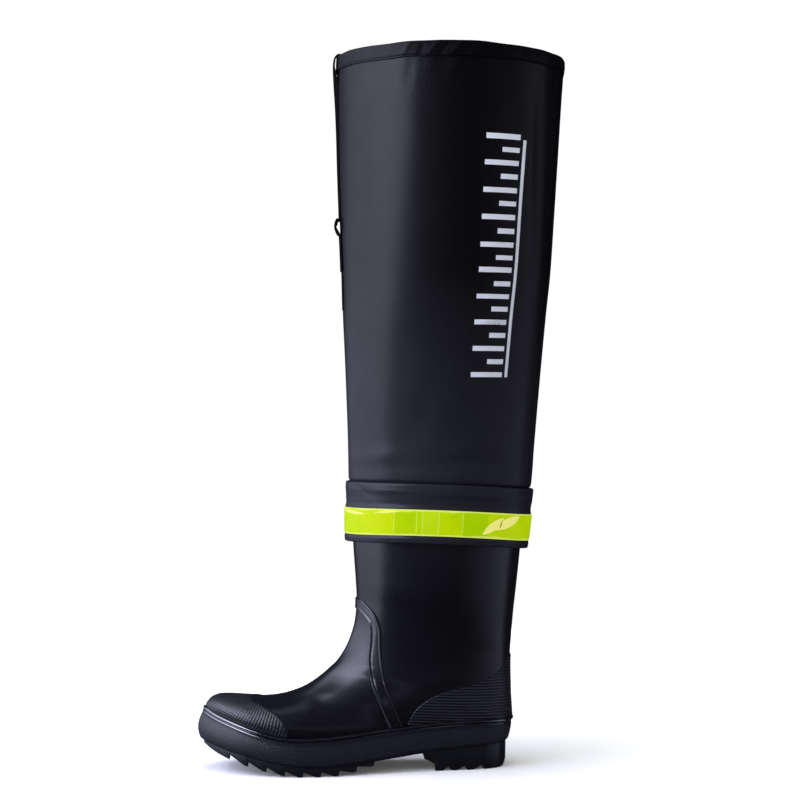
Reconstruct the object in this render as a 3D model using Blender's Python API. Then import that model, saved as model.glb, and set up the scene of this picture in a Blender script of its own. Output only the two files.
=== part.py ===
"""Thigh-length rubber boot for a left foot, standing empty on its sole.

Frame: +X to the toe, +Y to the outer side, +Z up, origin on the floor under the middle of the box.
Sizes are millimetres; meshes are made in metres. A station is a distance forward of the heel.
"""
import math
from collections import namedtuple

import bmesh
import bpy
import numpy as np
from mathutils import Vector

MM = 0.001
GAP = 0.3
ORIGIN_STATION = 123.9

# Counts of facets
HALF_COUNT = 15
RING_COUNT = 2 * HALF_COUNT
CLOSED_SECTIONS = 10
OPEN_SECTIONS = 22
SPLINE_STEPS = 16

# Walls and layers
UPPER_WALL = 2.5
SHAFT_WALL = 1.0
LAYER = 1.0
INSOLE_THICK = 3.5
INSOLE_PLAY = 1.4
TAPE_THICK = 0.6
SEAM_THICK = 0.6
STRAP_WIDTH = 20.0
STRAP_THICK = 0.9
STRAP_BASE_THICK = 0.6

# Sole sizes
HEEL_BACK = -2.6
TOE_FRONT = 300.0
TOE_OFFSET = -8.0
TREAD_INSET = 2.0
TREAD_OVERLAP = 1.5
LUG_DEPTH = 4.4
LUG_LAND = 3.5
LUG_STEP = 0.9
LUG_REAR = 136.3
LUG_PITCH = 16.8
LUG_COUNT = 9
HEEL_BREAST = 77.0
BREAST_HOLLOW = 5.0
BREAST_LEAN = 2.0
BREAST_SKEW = 3.0
BREAST_SKEW_TOP = 8.0
HEEL_TAPER = 2.0
BEAD_GROOVE = 0.8
BEAD_PROUD = 0.5
BEAD_THICK = 2.5
SHOULDER_DROP = 6.5
BULGE_SHARE = 0.3

# Cuff sizes
CUFF_HEIGHT = 56.8
TAPE_LOW = 7.5
TAPE_HIGH = 32.5
TAPE_SEAT = 3.6

# Shaft details
SEAM_WIDTH_DEG = 8.0
SEAM_LOW = 278.0
SEAM_HIGH = 662.0
STRAP_BASE_LOW = 437.0
STRAP_BASE_HIGH = 506.0

PlanRow = namedtuple("PlanRow", "station outer inner")
SOLE_PLAN = [
    PlanRow(6, 22, -22),
    PlanRow(22, 34, -33.5),
    PlanRow(48, 38, -36.5),
    PlanRow(80, 39, -34.5),
    PlanRow(112, 43, -34),
    PlanRow(145, 50, -37.5),
    PlanRow(175, 54.5, -45),
    PlanRow(205, 55, -51.5),
    PlanRow(235, 50, -53),
    PlanRow(262, 39.5, -48),
    PlanRow(284, 22, -37),
    PlanRow(296, 6, -23),
]

# Heights along the sole: underside of the foxing, floor inside, welt bead, lowest points of the lugs
HeightRow = namedtuple("HeightRow", "station under floor bead lugs")
SOLE_HEIGHTS = [
    HeightRow(0, 25.0, 32.0, 47.0, 8.0),
    HeightRow(40, 22.4, 30.0, 48.0, 8.0),
    HeightRow(80, 18.8, 27.0, 46.2, 8.0),
    HeightRow(111, 15.0, 22.8, 43.2, 8.0),
    HeightRow(136, 12.3, 19.8, 41.2, 8.0),
    HeightRow(156, 9.9, 17.2, 39.0, 3.2),
    HeightRow(180, 8.3, 15.6, 36.9, 0.0),
    HeightRow(207, 9.4, 16.4, 36.3, 0.0),
    HeightRow(220, 11.4, 18.0, 37.1, 1.2),
    HeightRow(247, 16.7, 23.6, 43.2, 7.0),
    HeightRow(265, 20.6, 28.4, 49.0, 12.0),
    HeightRow(282, 25.2, 33.6, 55.0, 18.2),
    HeightRow(298, 30.0, 37.0, 62.5, 27.0),
]

# How far the loops of the sole stand inside its plan, and how wide its bead is
InsetRow = namedtuple("InsetRow", "station rim shoulder middle under bead floor")
SOLE_INSETS = [
    InsetRow(0, 0.4, 1.8, 3.4, 5.1, 1.3, 11.5),
    InsetRow(40, 0.4, 1.2, 2.0, 3.6, 1.6, 8.5),
    InsetRow(110, 0.6, 0.6, 0.5, 1.8, 2.4, 6.5),
    InsetRow(200, 1.6, 0.8, 0.1, 1.2, 3.0, 6.5),
    InsetRow(262, 3.4, 2.2, 0.0, 1.8, 3.0, 8.0),
    InsetRow(300, 5.4, 4.0, 0.0, 2.8, 3.0, 11.0),
]

# Sections of the upper from collar to heel: front point, back point and half width
LegRow = namedtuple("LegRow", "front_x front_z back_x back_z half_width")
UPPER_LEG = [
    LegRow(154.5, 262, -12.4, 254, 61.0),
    LegRow(153.5, 240, -11.1, 232, 60.5),
    LegRow(151.8, 208, -8.3, 201, 59.5),
    LegRow(149.8, 180, -5.2, 172, 57.5),
    LegRow(148.8, 160, -2.3, 146, 54.5),
    LegRow(150.2, 142, -0.2, 121, 51.0),
    LegRow(154.4, 126, 1.0, 98, 47.8),
    LegRow(160.6, 112.2, 0.6, 73, 45.5),
]

# Sections of the foot from heel to toe: top point, station on the bead, half width, side shift of the top
FootRow = namedtuple("FootRow", "top_x top_z base half_width shift")
UPPER_FOOT = [
    FootRow(168.8, 100.4, 0, 44.0, 0),
    FootRow(174.9, 94.8, 12, 43.4, 0),
    FootRow(181.6, 89.0, 32, 43.0, 0),
    FootRow(189.2, 83.2, 58, 43.0, 0),
    FootRow(197.8, 77.6, 88, 43.5, 0),
    FootRow(208.5, 72.6, 120, 45.0, -1),
    FootRow(221.0, 68.6, 152, 48.0, -2),
    FootRow(234.0, 66.8, 182, 51.0, -3),
    FootRow(247.0, 66.6, 210, 52.5, -4),
    FootRow(258.0, 67.3, 235, 50.0, -5),
    FootRow(268.0, 68.2, 255, 43.5, -6),
    FootRow(277.0, 68.4, 271, 35.0, -7),
    FootRow(284.5, 66.8, 282, 24.0, -7.5),
    FootRow(289.2, 63.2, 289, 12.0, -8),
    FootRow(291.4, 60.0, 291.5, 2.0, -8),
]
FOOT_SQUARE = 0.86

# How late each section drops on its way back, by its row counted from the collar
BowRow = namedtuple("BowRow", "row power")
SECTION_BOW = [
    BowRow(0, 1.0),
    BowRow(3, 1.1),
    BowRow(6, 2.2),
    BowRow(8, 3.0),
    BowRow(11, 2.2),
    BowRow(14, 1.3),
    BowRow(17, 1.0),
]

# Rows of the fabric shaft, from the end over the rubber collar up to the rim, whose sides stand higher
ShaftRow = namedtuple("ShaftRow", "front_x front_z back_x back_z half_width crown")
SHAFT_ROWS = [
    ShaftRow(154.9, 240, -12.6, 232, 61.9, 0),
    ShaftRow(155.9, 262, -13.9, 254, 62.4, 0),
    ShaftRow(156.5, 275, -19.4, 268, 69.0, 0),
    ShaftRow(157.2, 312, -22.9, 310, 71.0, 0),
    ShaftRow(158.6, 353, -26.4, 353, 74.0, 0),
    ShaftRow(160.2, 393, -29.9, 393, 77.0, 0),
    ShaftRow(162.0, 433, -33.6, 433, 80.0, 0),
    ShaftRow(163.0, 473, -37.7, 473, 82.5, 0),
    ShaftRow(165.3, 530, -41.4, 530, 85.0, 0),
    ShaftRow(167.0, 590, -45.1, 590, 87.0, 0.6),
    ShaftRow(167.5, 640, -48.2, 640, 88.0, 1.8),
    ShaftRow(167.2, 677.6, -50.9, 675.2, 88.5, 3.4),
]

# Seat of the cuff at its lower and upper edge
CUFF_ROWS = [
    ShaftRow(156.5, 216.5, -12.6, 208.5, 67.5, 4.5),
    ShaftRow(156.5, 273.3, -19.4, 265.5, 69.0, 2.5),
]

# Cross-sections of the rings: distance out from the seat, height over the cuff's or under the rim's edge
RingPoint = namedtuple("RingPoint", "out height")
CUFF_PROFILE = [
    RingPoint(0.9, 56.8),
    RingPoint(2.5, 54.6),
    RingPoint(3.2, 50.0),
    RingPoint(1.7, 43.0),
    RingPoint(1.8, 36.5),
    RingPoint(3.0, 33.2),
    RingPoint(3.3, 20.0),
    RingPoint(3.3, 7.0),
    RingPoint(4.0, 4.6),
    RingPoint(3.6, 0.4),
    RingPoint(2.0, -0.2),
    RingPoint(1.0, 1.4),
    RingPoint(0.4, 20.0),
    RingPoint(0.3, 56.0),
]
HEM_PROFILE = [
    RingPoint(0.3, -13.0),
    RingPoint(1.1, -13.0),
    RingPoint(1.3, -6.0),
    RingPoint(1.1, 0.6),
    RingPoint(0.3, 1.5),
    RingPoint(-1.5, 1.5),
    RingPoint(-2.3, 0.6),
    RingPoint(-2.3, -13.0),
    RingPoint(-1.3, -13.0),
    RingPoint(-1.3, 0.4),
    RingPoint(0.3, 0.4),
]

# Middle line of the hanging strap: distance out from the shaft's front, height
STRAP_PATH = [
    RingPoint(-3.2, 644.0),
    RingPoint(-3.3, 662.0),
    RingPoint(-3.4, 677.0),
    RingPoint(-2.6, 679.8),
    RingPoint(-0.5, 680.6),
    RingPoint(1.9, 679.8),
    RingPoint(3.8, 676.2),
    RingPoint(4.2, 670.0),
    RingPoint(3.9, 645.0),
    RingPoint(2.1, 610.0),
    RingPoint(0.85, 565.0),
    RingPoint(0.75, 525.5),
    RingPoint(1.5, 523.3),
    RingPoint(4.4, 521.4),
    RingPoint(6.1, 518.0),
    RingPoint(5.9, 514.6),
    RingPoint(4.2, 511.2),
    RingPoint(2.2, 509.0),
    RingPoint(1.7, 505.5),
    RingPoint(1.7, 474.0),
]

# Edges of the layers on the upper, seen from the side: station, height
EdgePoint = namedtuple("EdgePoint", "station height")
TOE_CAP_EDGE = [
    EdgePoint(252, 90),
    EdgePoint(250, 69),
    EdgePoint(242, 65),
    EdgePoint(233, 60.5),
    EdgePoint(224, 54),
    EdgePoint(219, 48),
    EdgePoint(216.5, 41),
]
COUNTER_EDGE = [
    EdgePoint(-40, 108),
    EdgePoint(0, 107),
    EdgePoint(7.5, 101),
    EdgePoint(18, 91),
    EdgePoint(43, 81.5),
    EdgePoint(63, 77.5),
    EdgePoint(78.5, 72.5),
    EdgePoint(92, 64),
    EdgePoint(99, 56.5),
    EdgePoint(103.6, 47),
]
BAND_REAR_EDGE = [
    EdgePoint(190, 168),
    EdgePoint(150, 162),
    EdgePoint(142, 158),
    EdgePoint(134, 147.5),
    EdgePoint(130.6, 135),
    EdgePoint(130.2, 116),
    EdgePoint(128, 98),
    EdgePoint(123.4, 79),
    EdgePoint(113.5, 55),
    EdgePoint(109.2, 46),
]
BAND_FRONT_EDGE = [
    EdgePoint(125.0, 48.6),
    EdgePoint(133.8, 69.4),
    EdgePoint(139.0, 88),
    EdgePoint(140.4, 106.5),
    EdgePoint(138.4, 125),
    EdgePoint(139.2, 140),
    EdgePoint(145.7, 148.5),
    EdgePoint(152, 152),
    EdgePoint(190, 156),
]

# Heel underside from back to front: station, height
HEEL_UNDER = [
    EdgePoint(5.2, 6.0),
    EdgePoint(7.0, 3.4),
    EdgePoint(9.0, 1.4),
    EdgePoint(12.0, 0.0),
    EdgePoint(16.5, 0.0),
    EdgePoint(22.5, 0.0),
    EdgePoint(29.6, 0.0),
    EdgePoint(30.4, 5.2),
    EdgePoint(39.5, 0.0),
    EdgePoint(46.2, 0.0),
    EdgePoint(47.0, 5.0),
    EdgePoint(55.5, 0.0),
    EdgePoint(62.0, 0.0),
    EdgePoint(62.8, 4.4),
    EdgePoint(70.0, 0.0),
    EdgePoint(HEEL_BREAST, 0.0),
]
HEEL_COLUMNS = 5

LOOKS = {
    "rubber": ((0.012, 0.013, 0.016), 0.42),
    "layer": ((0.014, 0.015, 0.018), 0.48),
    "sole": ((0.011, 0.012, 0.014), 0.55),
    "fabric": ((0.020, 0.021, 0.025), 0.50),
    "tape": ((0.60, 0.78, 0.00), 0.35),
    "webbing": ((0.009, 0.009, 0.010), 0.75),
    "sock": ((0.08, 0.08, 0.085), 0.90),
}


def smooth(xs, ys, where):
    """Monotone cubic through a table, flat beyond its ends."""
    xs = np.asarray(xs, float)
    ys = np.asarray(ys, float)
    step = np.diff(xs)
    slope = np.diff(ys) / step
    tangent = np.zeros(len(xs))
    tangent[0] = slope[0]
    tangent[-1] = slope[-1]
    for i in range(1, len(xs) - 1):
        if slope[i - 1] * slope[i] > 0:
            before = 2 * step[i] + step[i - 1]
            after = step[i] + 2 * step[i - 1]
            tangent[i] = (before + after) / (before / slope[i - 1] + after / slope[i])
    at = np.clip(np.asarray(where, float), xs[0], xs[-1])
    span = np.clip(np.searchsorted(xs, at, side="right") - 1, 0, len(xs) - 2)
    t = (at - xs[span]) / step[span]
    low = ys[span] * (1 + 2 * t) * (1 - t) ** 2 + ys[span + 1] * t * t * (3 - 2 * t)
    return low + step[span] * (tangent[span] * t * (1 - t) ** 2 + tangent[span + 1] * t * t * (t - 1))


def column(rows, name):
    return [getattr(row, name) for row in rows]


def sole_height(name, station):
    return smooth(column(SOLE_HEIGHTS, "station"), column(SOLE_HEIGHTS, name), station)


def sole_inset(name, station):
    return smooth(column(SOLE_INSETS, "station"), column(SOLE_INSETS, name), station)


def plan_curve():
    """Dense closed plan of the sole, from the heel's back along the outer side and round the toe."""
    corners = [(HEEL_BACK, 0.0)]
    corners += [(row.station, row.outer) for row in SOLE_PLAN]
    corners += [(TOE_FRONT, TOE_OFFSET)]
    corners += [(row.station, row.inner) for row in reversed(SOLE_PLAN)]
    p1 = np.array(corners, float)
    p0 = np.roll(p1, 1, axis=0)
    p2 = np.roll(p1, -1, axis=0)
    p3 = np.roll(p1, -2, axis=0)
    curve = []
    for t in np.arange(SPLINE_STEPS) / SPLINE_STEPS:
        blend = 2 * p1 + (p2 - p0) * t + (2 * p0 - 5 * p1 + 4 * p2 - p3) * t ** 2
        curve.append((blend + (3 * p1 - p0 - 3 * p2 + p3) * t ** 3) / 2)
    return np.stack(curve, axis=1).reshape(-1, 2)


PLAN = plan_curve()


def plan_sides(inset):
    """Outer and inner side of the plan drawn in by a function of the station."""
    along = np.roll(PLAN, -1, axis=0) - np.roll(PLAN, 1, axis=0)
    along /= np.linalg.norm(along, axis=1)[:, None]
    inward = np.stack([along[:, 1], -along[:, 0]], axis=1)
    curve = PLAN + inward * np.asarray(inset(PLAN[:, 0]))[:, None]
    back = int(np.argmin(curve[:, 0]))
    curve = np.roll(curve, -back, axis=0)
    front = int(np.argmax(curve[:, 0]))
    outer = curve[:front + 1]
    inner = np.vstack([curve[:1], curve[front:][::-1]])
    return outer, inner


def side_at(side, station):
    order = np.argsort(side[:, 0])
    return np.interp(station, side[order, 0], side[order, 1])


def plan_loop(inset, share):
    """Stations and sides of an inset plan at shares of its own length."""
    outer, inner = plan_sides(inset)
    station = outer[0, 0] + share * (outer[-1, 0] - outer[0, 0])
    left = side_at(outer, station)
    right = side_at(inner, station)
    right[0] = left[0]
    right[-1] = left[-1]
    return station, left, right


def rim_inset(station):
    return sole_inset("rim", station) + sole_inset("bead", station)


def floor_inset(station):
    return sole_inset("floor", station)


LEG_ROWS = len(UPPER_LEG)
FOOT_ROWS = len(UPPER_FOOT)
FRONT_X = column(UPPER_LEG, "front_x") + column(UPPER_FOOT, "top_x")
FRONT_Z = column(UPPER_LEG, "front_z") + column(UPPER_FOOT, "top_z")
WIDTHS = column(UPPER_LEG, "half_width") + column(UPPER_FOOT, "half_width")
ROW_INDEX = list(range(LEG_ROWS + FOOT_ROWS))

FOOT_LEVELS = np.linspace(LEG_ROWS, LEG_ROWS + FOOT_ROWS - 1, OPEN_SECTIONS + 1)
FOOT_BASE = smooth(ROW_INDEX[LEG_ROWS:], column(UPPER_FOOT, "base"), FOOT_LEVELS)
FOOT_SHARE = (FOOT_BASE - FOOT_BASE[0]) / (FOOT_BASE[-1] - FOOT_BASE[0])
RIM_STATION, RIM_LEFT, RIM_RIGHT = plan_loop(rim_inset, FOOT_SHARE)
RIM_HEIGHT = sole_height("bead", RIM_STATION)
FLOOR_STATION, FLOOR_LEFT, FLOOR_RIGHT = plan_loop(floor_inset, FOOT_SHARE)
FLOOR_HEIGHT = sole_height("floor", FLOOR_STATION)


def place(station, side, height):
    return Vector(((station - ORIGIN_STATION) * MM, side * MM, height * MM))


def closed_section(front, back, half_width, angle, bow):
    """Point of a closed section at an angle measured from its front."""
    share = (1 - math.cos(angle)) / 2
    height = front[1] + (back[1] - front[1]) * share ** bow
    return front[0] + (back[0] - front[0]) * share, half_width * math.sin(angle), height


def section_bow(level):
    return float(smooth(column(SECTION_BOW, "row"), column(SECTION_BOW, "power"), level))


def leg_point(level, step):
    rows = ROW_INDEX[:LEG_ROWS + 1]
    front = (smooth(ROW_INDEX, FRONT_X, level), smooth(ROW_INDEX, FRONT_Z, level))
    backs_x = column(UPPER_LEG, "back_x") + [RIM_STATION[0]]
    backs_z = column(UPPER_LEG, "back_z") + [RIM_HEIGHT[0]]
    back = (smooth(rows, backs_x, level), smooth(rows, backs_z, level))
    half_width = smooth(ROW_INDEX, WIDTHS, level)
    return closed_section(front, back, half_width, math.pi * step / HALF_COUNT, section_bow(level))


def foot_point(section, step):
    """Point of the foot: steps up to HALF_COUNT cross the dome, one more goes down inside the sole."""
    last = section == OPEN_SECTIONS
    if abs(step) > HALF_COUNT:
        side = FLOOR_LEFT[section] if step > 0 else FLOOR_RIGHT[section]
        return FLOOR_STATION[section], side, FLOOR_HEIGHT[section] + GAP
    base = (RIM_STATION[section], RIM_HEIGHT[section])
    if last:
        return base[0], RIM_LEFT[section], base[1]
    level = FOOT_LEVELS[section]
    top = (smooth(ROW_INDEX, FRONT_X, level), smooth(ROW_INDEX, FRONT_Z, level))
    shift = smooth(ROW_INDEX[LEG_ROWS:], column(UPPER_FOOT, "shift"), level)
    square = 1.0 + (FOOT_SQUARE - 1.0) * min(1.0, section / 10)
    reach = (RIM_LEFT[section] if step >= 0 else RIM_RIGHT[section]) - shift
    width = max(smooth(ROW_INDEX, WIDTHS, level), abs(reach))
    end = math.pi - math.asin(min(1.0, (abs(reach) / width) ** (1 / square)))
    angle = end * abs(step) / HALF_COUNT
    share = (1 - math.cos(angle)) / (1 - math.cos(end))
    out = width * abs(math.sin(angle)) ** square
    side = shift + (out if step >= 0 else -out)
    height = top[1] + (base[1] - top[1]) * share ** section_bow(level)
    return top[0] + (base[0] - top[0]) * share, side, height


def split(ring, mirrored):
    """Triangles of a face; both sides of the boot split alike, so that neighbours stay parallel."""
    if mirrored:
        ring = ring[1:] + ring[:1]
    return [[ring[0], ring[i], ring[i + 1]] for i in range(1, len(ring) - 1)]


def upper_skin(first, last):
    """Points and faces of the upper's outer face between two sections."""
    points = []
    found = {}

    def vertex(section, step):
        foot = section - CLOSED_SECTIONS
        if foot <= 0 and step == -HALF_COUNT:
            step = HALF_COUNT
        if foot in (0, OPEN_SECTIONS) and step == -HALF_COUNT - 1:
            step = HALF_COUNT + 1
        if foot == OPEN_SECTIONS and abs(step) <= HALF_COUNT:
            step = 0
        if (section, step) not in found:
            found[section, step] = len(points)
            if foot < 0:
                spot = leg_point(section * LEG_ROWS / CLOSED_SECTIONS, step)
            else:
                spot = foot_point(foot, step)
            points.append(place(*spot))
        return found[section, step]

    faces = []
    for section in range(first, last):
        reach = HALF_COUNT
        if section >= CLOSED_SECTIONS:
            reach = HALF_COUNT + 1
        for step in range(-reach, reach):
            corners = [(section, step), (section + 1, step), (section + 1, step + 1), (section, step + 1)]
            ring = []
            for corner in corners:
                index = vertex(*corner)
                if index not in ring:
                    ring.append(index)
            if len(ring) > 2:
                faces += split(ring, step < 0)
    return points, faces


def look(name):
    if name in bpy.data.materials:
        return bpy.data.materials[name]
    colour, roughness = LOOKS[name]
    material = bpy.data.materials.new(name)
    material.use_nodes = True
    shader = material.node_tree.nodes["Principled BSDF"]
    shader.inputs["Base Color"].default_value = (*colour, 1.0)
    shader.inputs["Roughness"].default_value = roughness
    material.diffuse_color = (*colour, 1.0)
    return material


def solid(name, points, faces, finish):
    """Object of a closed mesh with its faces outward."""
    mesh = bpy.data.meshes.new(name)
    mesh.from_pydata([tuple(point) for point in points], [], faces)
    work = bmesh.new()
    work.from_mesh(mesh)
    if work.calc_volume(signed=True) < 0:
        bmesh.ops.reverse_faces(work, faces=work.faces[:])
    work.to_mesh(mesh)
    work.free()
    mesh.materials.append(look(finish))
    item = bpy.data.objects.new(name, mesh)
    bpy.context.scene.collection.objects.link(item)
    return item


def thicken(name, points, faces, low, high, finish):
    """Closed wall between two distances out from a skin."""
    skin = bmesh.new()
    corners = [skin.verts.new(point) for point in points]
    for face in faces:
        skin.faces.new([corners[i] for i in face])
    skin.verts.index_update()
    skin.normal_update()
    far = [v.co + v.normal * (v.calc_shell_factor() * high * MM) for v in corners]
    near = [v.co + v.normal * (v.calc_shell_factor() * low * MM) for v in corners]
    count = len(corners)
    shell = [list(face) for face in faces]
    shell += [[count + i for i in reversed(face)] for face in faces]
    for edge in skin.edges:
        if len(edge.link_faces) == 1:
            loop = edge.link_loops[0]
            start = loop.vert.index
            end = loop.link_loop_next.vert.index
            shell.append([end, start, count + start, count + end])
    skin.free()
    return solid(name, far + near, shell, finish)


def loft(loops):
    """Faces between loops of one size, each given as a list of point numbers."""
    faces = []
    for low, high in zip(loops, loops[1:]):
        size = len(low)
        for i in range(size):
            j = (i + 1) % size
            faces += split([low[i], high[i], high[j], low[j]], 2 * i >= size)
    return faces


def ladder(loop):
    """Faces across a loop that runs up one side and down the other."""
    half = len(loop) // 2
    faces = [[loop[0], loop[-1], loop[1]], [loop[half], loop[half - 1], loop[half + 1]]]
    for k in range(1, half - 1):
        faces.append([loop[k], loop[-k], loop[-k - 1], loop[k + 1]])
    return faces


def slab(name, low_rows, high_rows, finish):
    """Closed solid between two grids of one size."""
    rows = len(low_rows)
    columns = len(low_rows[0])
    points = [point for row in low_rows for point in row] + [point for row in high_rows for point in row]
    high = rows * columns
    faces = []
    for r in range(rows - 1):
        for c in range(columns - 1):
            a = r * columns + c
            b = a + columns
            faces.append([a, b, b + 1, a + 1])
            faces.append([high + a, high + a + 1, high + b + 1, high + b])
    rim = [c for c in range(columns)]
    rim += [r * columns + columns - 1 for r in range(1, rows)]
    rim += [(rows - 1) * columns + c for c in range(columns - 2, -1, -1)]
    rim += [r * columns for r in range(rows - 2, 0, -1)]
    for i, start in enumerate(rim):
        end = rim[(i + 1) % len(rim)]
        faces.append([start, end, high + end, high + start])
    return solid(name, points, faces, finish)


def prism(name, outline):
    """Side outline drawn out across the whole width, to cut with."""
    reach = 150
    count = len(outline)
    points = [place(spot.station, -reach, spot.height) for spot in outline]
    points += [place(spot.station, reach, spot.height) for spot in outline]
    faces = [list(range(count)), [count + i for i in reversed(range(count))]]
    faces += [[i, count + i, count + (i + 1) % count, (i + 1) % count] for i in range(count)]
    return solid(name, points, faces, "layer")


def combine(item, tool, operation):
    step = item.modifiers.new(tool.name, "BOOLEAN")
    step.operation = operation
    step.solver = "EXACT"
    step.object = tool
    tool.hide_render = True
    tool.display_type = "WIRE"


def bead_line(first, last):
    """Points just over the welt bead between two stations."""
    return [EdgePoint(s, float(sole_height("bead", s)) + 2 * GAP) for s in np.linspace(first, last, 9)]


def make_upper():
    points, faces = upper_skin(0, CLOSED_SECTIONS + OPEN_SECTIONS)
    thicken("upper", points, faces, -UPPER_WALL, 0.0, "rubber")


def make_layer(name, outline, first, last):
    points, faces = upper_skin(first, last)
    layer = thicken(name, points, faces, GAP, GAP + LAYER, "layer")
    combine(layer, prism(name + "_cut", outline), "INTERSECT")


def loop_points(points, inset, heights):
    """Adds one loop of the sole and returns its point numbers."""
    station, left, right = plan_loop(inset, FOOT_SHARE)
    height = heights(station) if callable(heights) else heights
    first = len(points)
    for k in range(len(station)):
        points.append(place(station[k], left[k], height[k]))
    for k in range(len(station) - 2, 0, -1):
        points.append(place(station[k], right[k], height[k]))
    return list(range(first, len(points)))


def make_outsole():
    points = []
    rim = RIM_HEIGHT

    def under(station):
        return sole_height("under", station)

    def bulge(station):
        return (1 - BULGE_SHARE) * under(station) + BULGE_SHARE * sole_height("bead", station)

    loops = [
        loop_points(points, lambda s: sole_inset("under", s), under),
        loop_points(points, lambda s: sole_inset("middle", s), bulge),
        loop_points(points, lambda s: sole_inset("shoulder", s), rim - SHOULDER_DROP),
        loop_points(points, lambda s: sole_inset("rim", s) + BEAD_GROOVE, rim - BEAD_THICK - 1.0),
        loop_points(points, lambda s: sole_inset("rim", s) - BEAD_PROUD, rim - BEAD_THICK),
        loop_points(points, lambda s: sole_inset("rim", s) - BEAD_PROUD, rim - 0.8),
        loop_points(points, lambda s: sole_inset("rim", s) + 0.5, rim),
        loop_points(points, lambda s: rim_inset(s) - GAP - 0.05, rim),
        loop_points(points, lambda s: floor_inset(s) - GAP - 0.05, FLOOR_HEIGHT),
    ]
    faces = loft(loops)
    faces += ladder(loops[-1])
    faces += [face[::-1] for face in ladder(loops[0])]
    sole = solid("outsole", points, faces, "sole")
    combine(sole, make_tread(), "UNION")
    combine(sole, make_heel(), "UNION")


def tread_sides(station):
    outer, inner = plan_sides(lambda s: sole_inset("under", s) + TREAD_INSET)
    return side_at(outer, station), side_at(inner, station)


def make_tread():
    """Bars across the forefoot, each sloping down to a land at its back."""
    spots = [EdgePoint(LUG_REAR - LUG_STEP, float(sole_height("under", LUG_REAR)) + 0.5)]
    for i in range(LUG_COUNT):
        back = LUG_REAR + i * LUG_PITCH
        low = float(sole_height("lugs", back))
        spots.append(EdgePoint(back, low))
        spots.append(EdgePoint(back + LUG_LAND, float(sole_height("lugs", back + LUG_LAND))))
        if i < LUG_COUNT - 1:
            top = back + LUG_PITCH - LUG_STEP
            spots.append(EdgePoint(top, float(sole_height("lugs", top)) + LUG_DEPTH))
    for station in (282.0, 289.0, 294.5):
        spots.append(EdgePoint(station, float(sole_height("lugs", station))))
    low_rows = []
    high_rows = []
    for spot in spots:
        left, right = tread_sides(spot.station)
        top = float(sole_height("under", spot.station)) + TREAD_OVERLAP
        low_rows.append([place(spot.station, right, spot.height), place(spot.station, left, spot.height)])
        high_rows.append([place(spot.station, right, top), place(spot.station, left, top)])
    return slab("tread", low_rows, high_rows, "sole")


def make_heel():
    """Heel block with a hollow breast and three notches underneath."""
    low_rows = []
    high_rows = []
    for spot in HEEL_UNDER:
        left, right = tread_sides(spot.station)
        breast = spot.station == HEEL_BREAST
        low = []
        high = []
        for share in np.linspace(0, 1, HEEL_COLUMNS):
            low_at = spot.station
            high_at = spot.station
            if breast:
                hollow = BREAST_HOLLOW * (1 - (2 * share - 1) ** 2)
                low_at += BREAST_SKEW * (1 - share) - hollow
                high_at += BREAST_LEAN + BREAST_SKEW_TOP * (1 - share) - hollow
            side = right + (left - right) * share
            taper = HEEL_TAPER * (1 - 2 * share)
            low.append(place(low_at, side + taper, spot.height))
            high.append(place(high_at, side, float(sole_height("under", high_at)) + TREAD_OVERLAP))
        low_rows.append(low)
        high_rows.append(high)
    return slab("heel", low_rows, high_rows, "sole")


def make_insole():
    station, left, right = plan_loop(lambda s: floor_inset(s) + UPPER_WALL + INSOLE_PLAY, FOOT_SHARE)
    low_rows = []
    high_rows = []
    for k in range(1, len(station) - 1):
        floor = float(sole_height("floor", station[k])) + GAP
        low_rows.append([place(station[k], right[k], floor), place(station[k], left[k], floor)])
        high = floor + INSOLE_THICK
        high_rows.append([place(station[k], right[k], high), place(station[k], left[k], high)])
    slab("insole", low_rows, high_rows, "sock")


SHAFT_INDEX = list(range(len(SHAFT_ROWS)))


def shaft_row(level):
    return ShaftRow(*[float(smooth(SHAFT_INDEX, column(SHAFT_ROWS, name), level)) for name in ShaftRow._fields])


def shaft_level(height):
    return float(np.interp(height, column(SHAFT_ROWS, "front_z"), SHAFT_INDEX))


def ring_point(row, angle, out, rise):
    """Point on a closed row, moved outward and up."""
    spot = closed_section((row.front_x, row.front_z), (row.back_x, row.back_z), row.half_width, angle, 1.0)
    forward = math.cos(angle) / (row.front_x - row.back_x) * 2
    sideways = math.sin(angle) / row.half_width
    length = math.hypot(forward, sideways)
    height = spot[2] + row.crown * math.sin(angle) ** 2 + rise
    return place(spot[0] + out * forward / length, spot[1] + out * sideways / length, height)


def ring(name, profile, row_at, rise_at, finish):
    """Closed ring of one cross-section; row_at gives the seat and rise_at the lift of a height."""
    points = []
    loops = []
    for spot in profile:
        row = row_at(spot.height)
        first = len(points)
        for i in range(RING_COUNT):
            points.append(ring_point(row, 2 * math.pi * i / RING_COUNT, spot.out, rise_at(spot.height)))
        loops.append(list(range(first, len(points))))
    solid(name, points, loft(loops + loops[:1]), finish)


def make_shaft():
    points = []
    loops = []
    for level in SHAFT_INDEX:
        first = len(points)
        for i in range(RING_COUNT):
            points.append(ring_point(shaft_row(level), 2 * math.pi * i / RING_COUNT, 0.0, 0.0))
        loops.append(list(range(first, len(points))))
    thicken("shaft", points, loft(loops[::-1]), -SHAFT_WALL, 0.0, "fabric")


def cuff_row(height):
    share = height / CUFF_HEIGHT
    low, high = CUFF_ROWS
    return ShaftRow(*[a + (b - a) * share for a, b in zip(low, high)])


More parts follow.
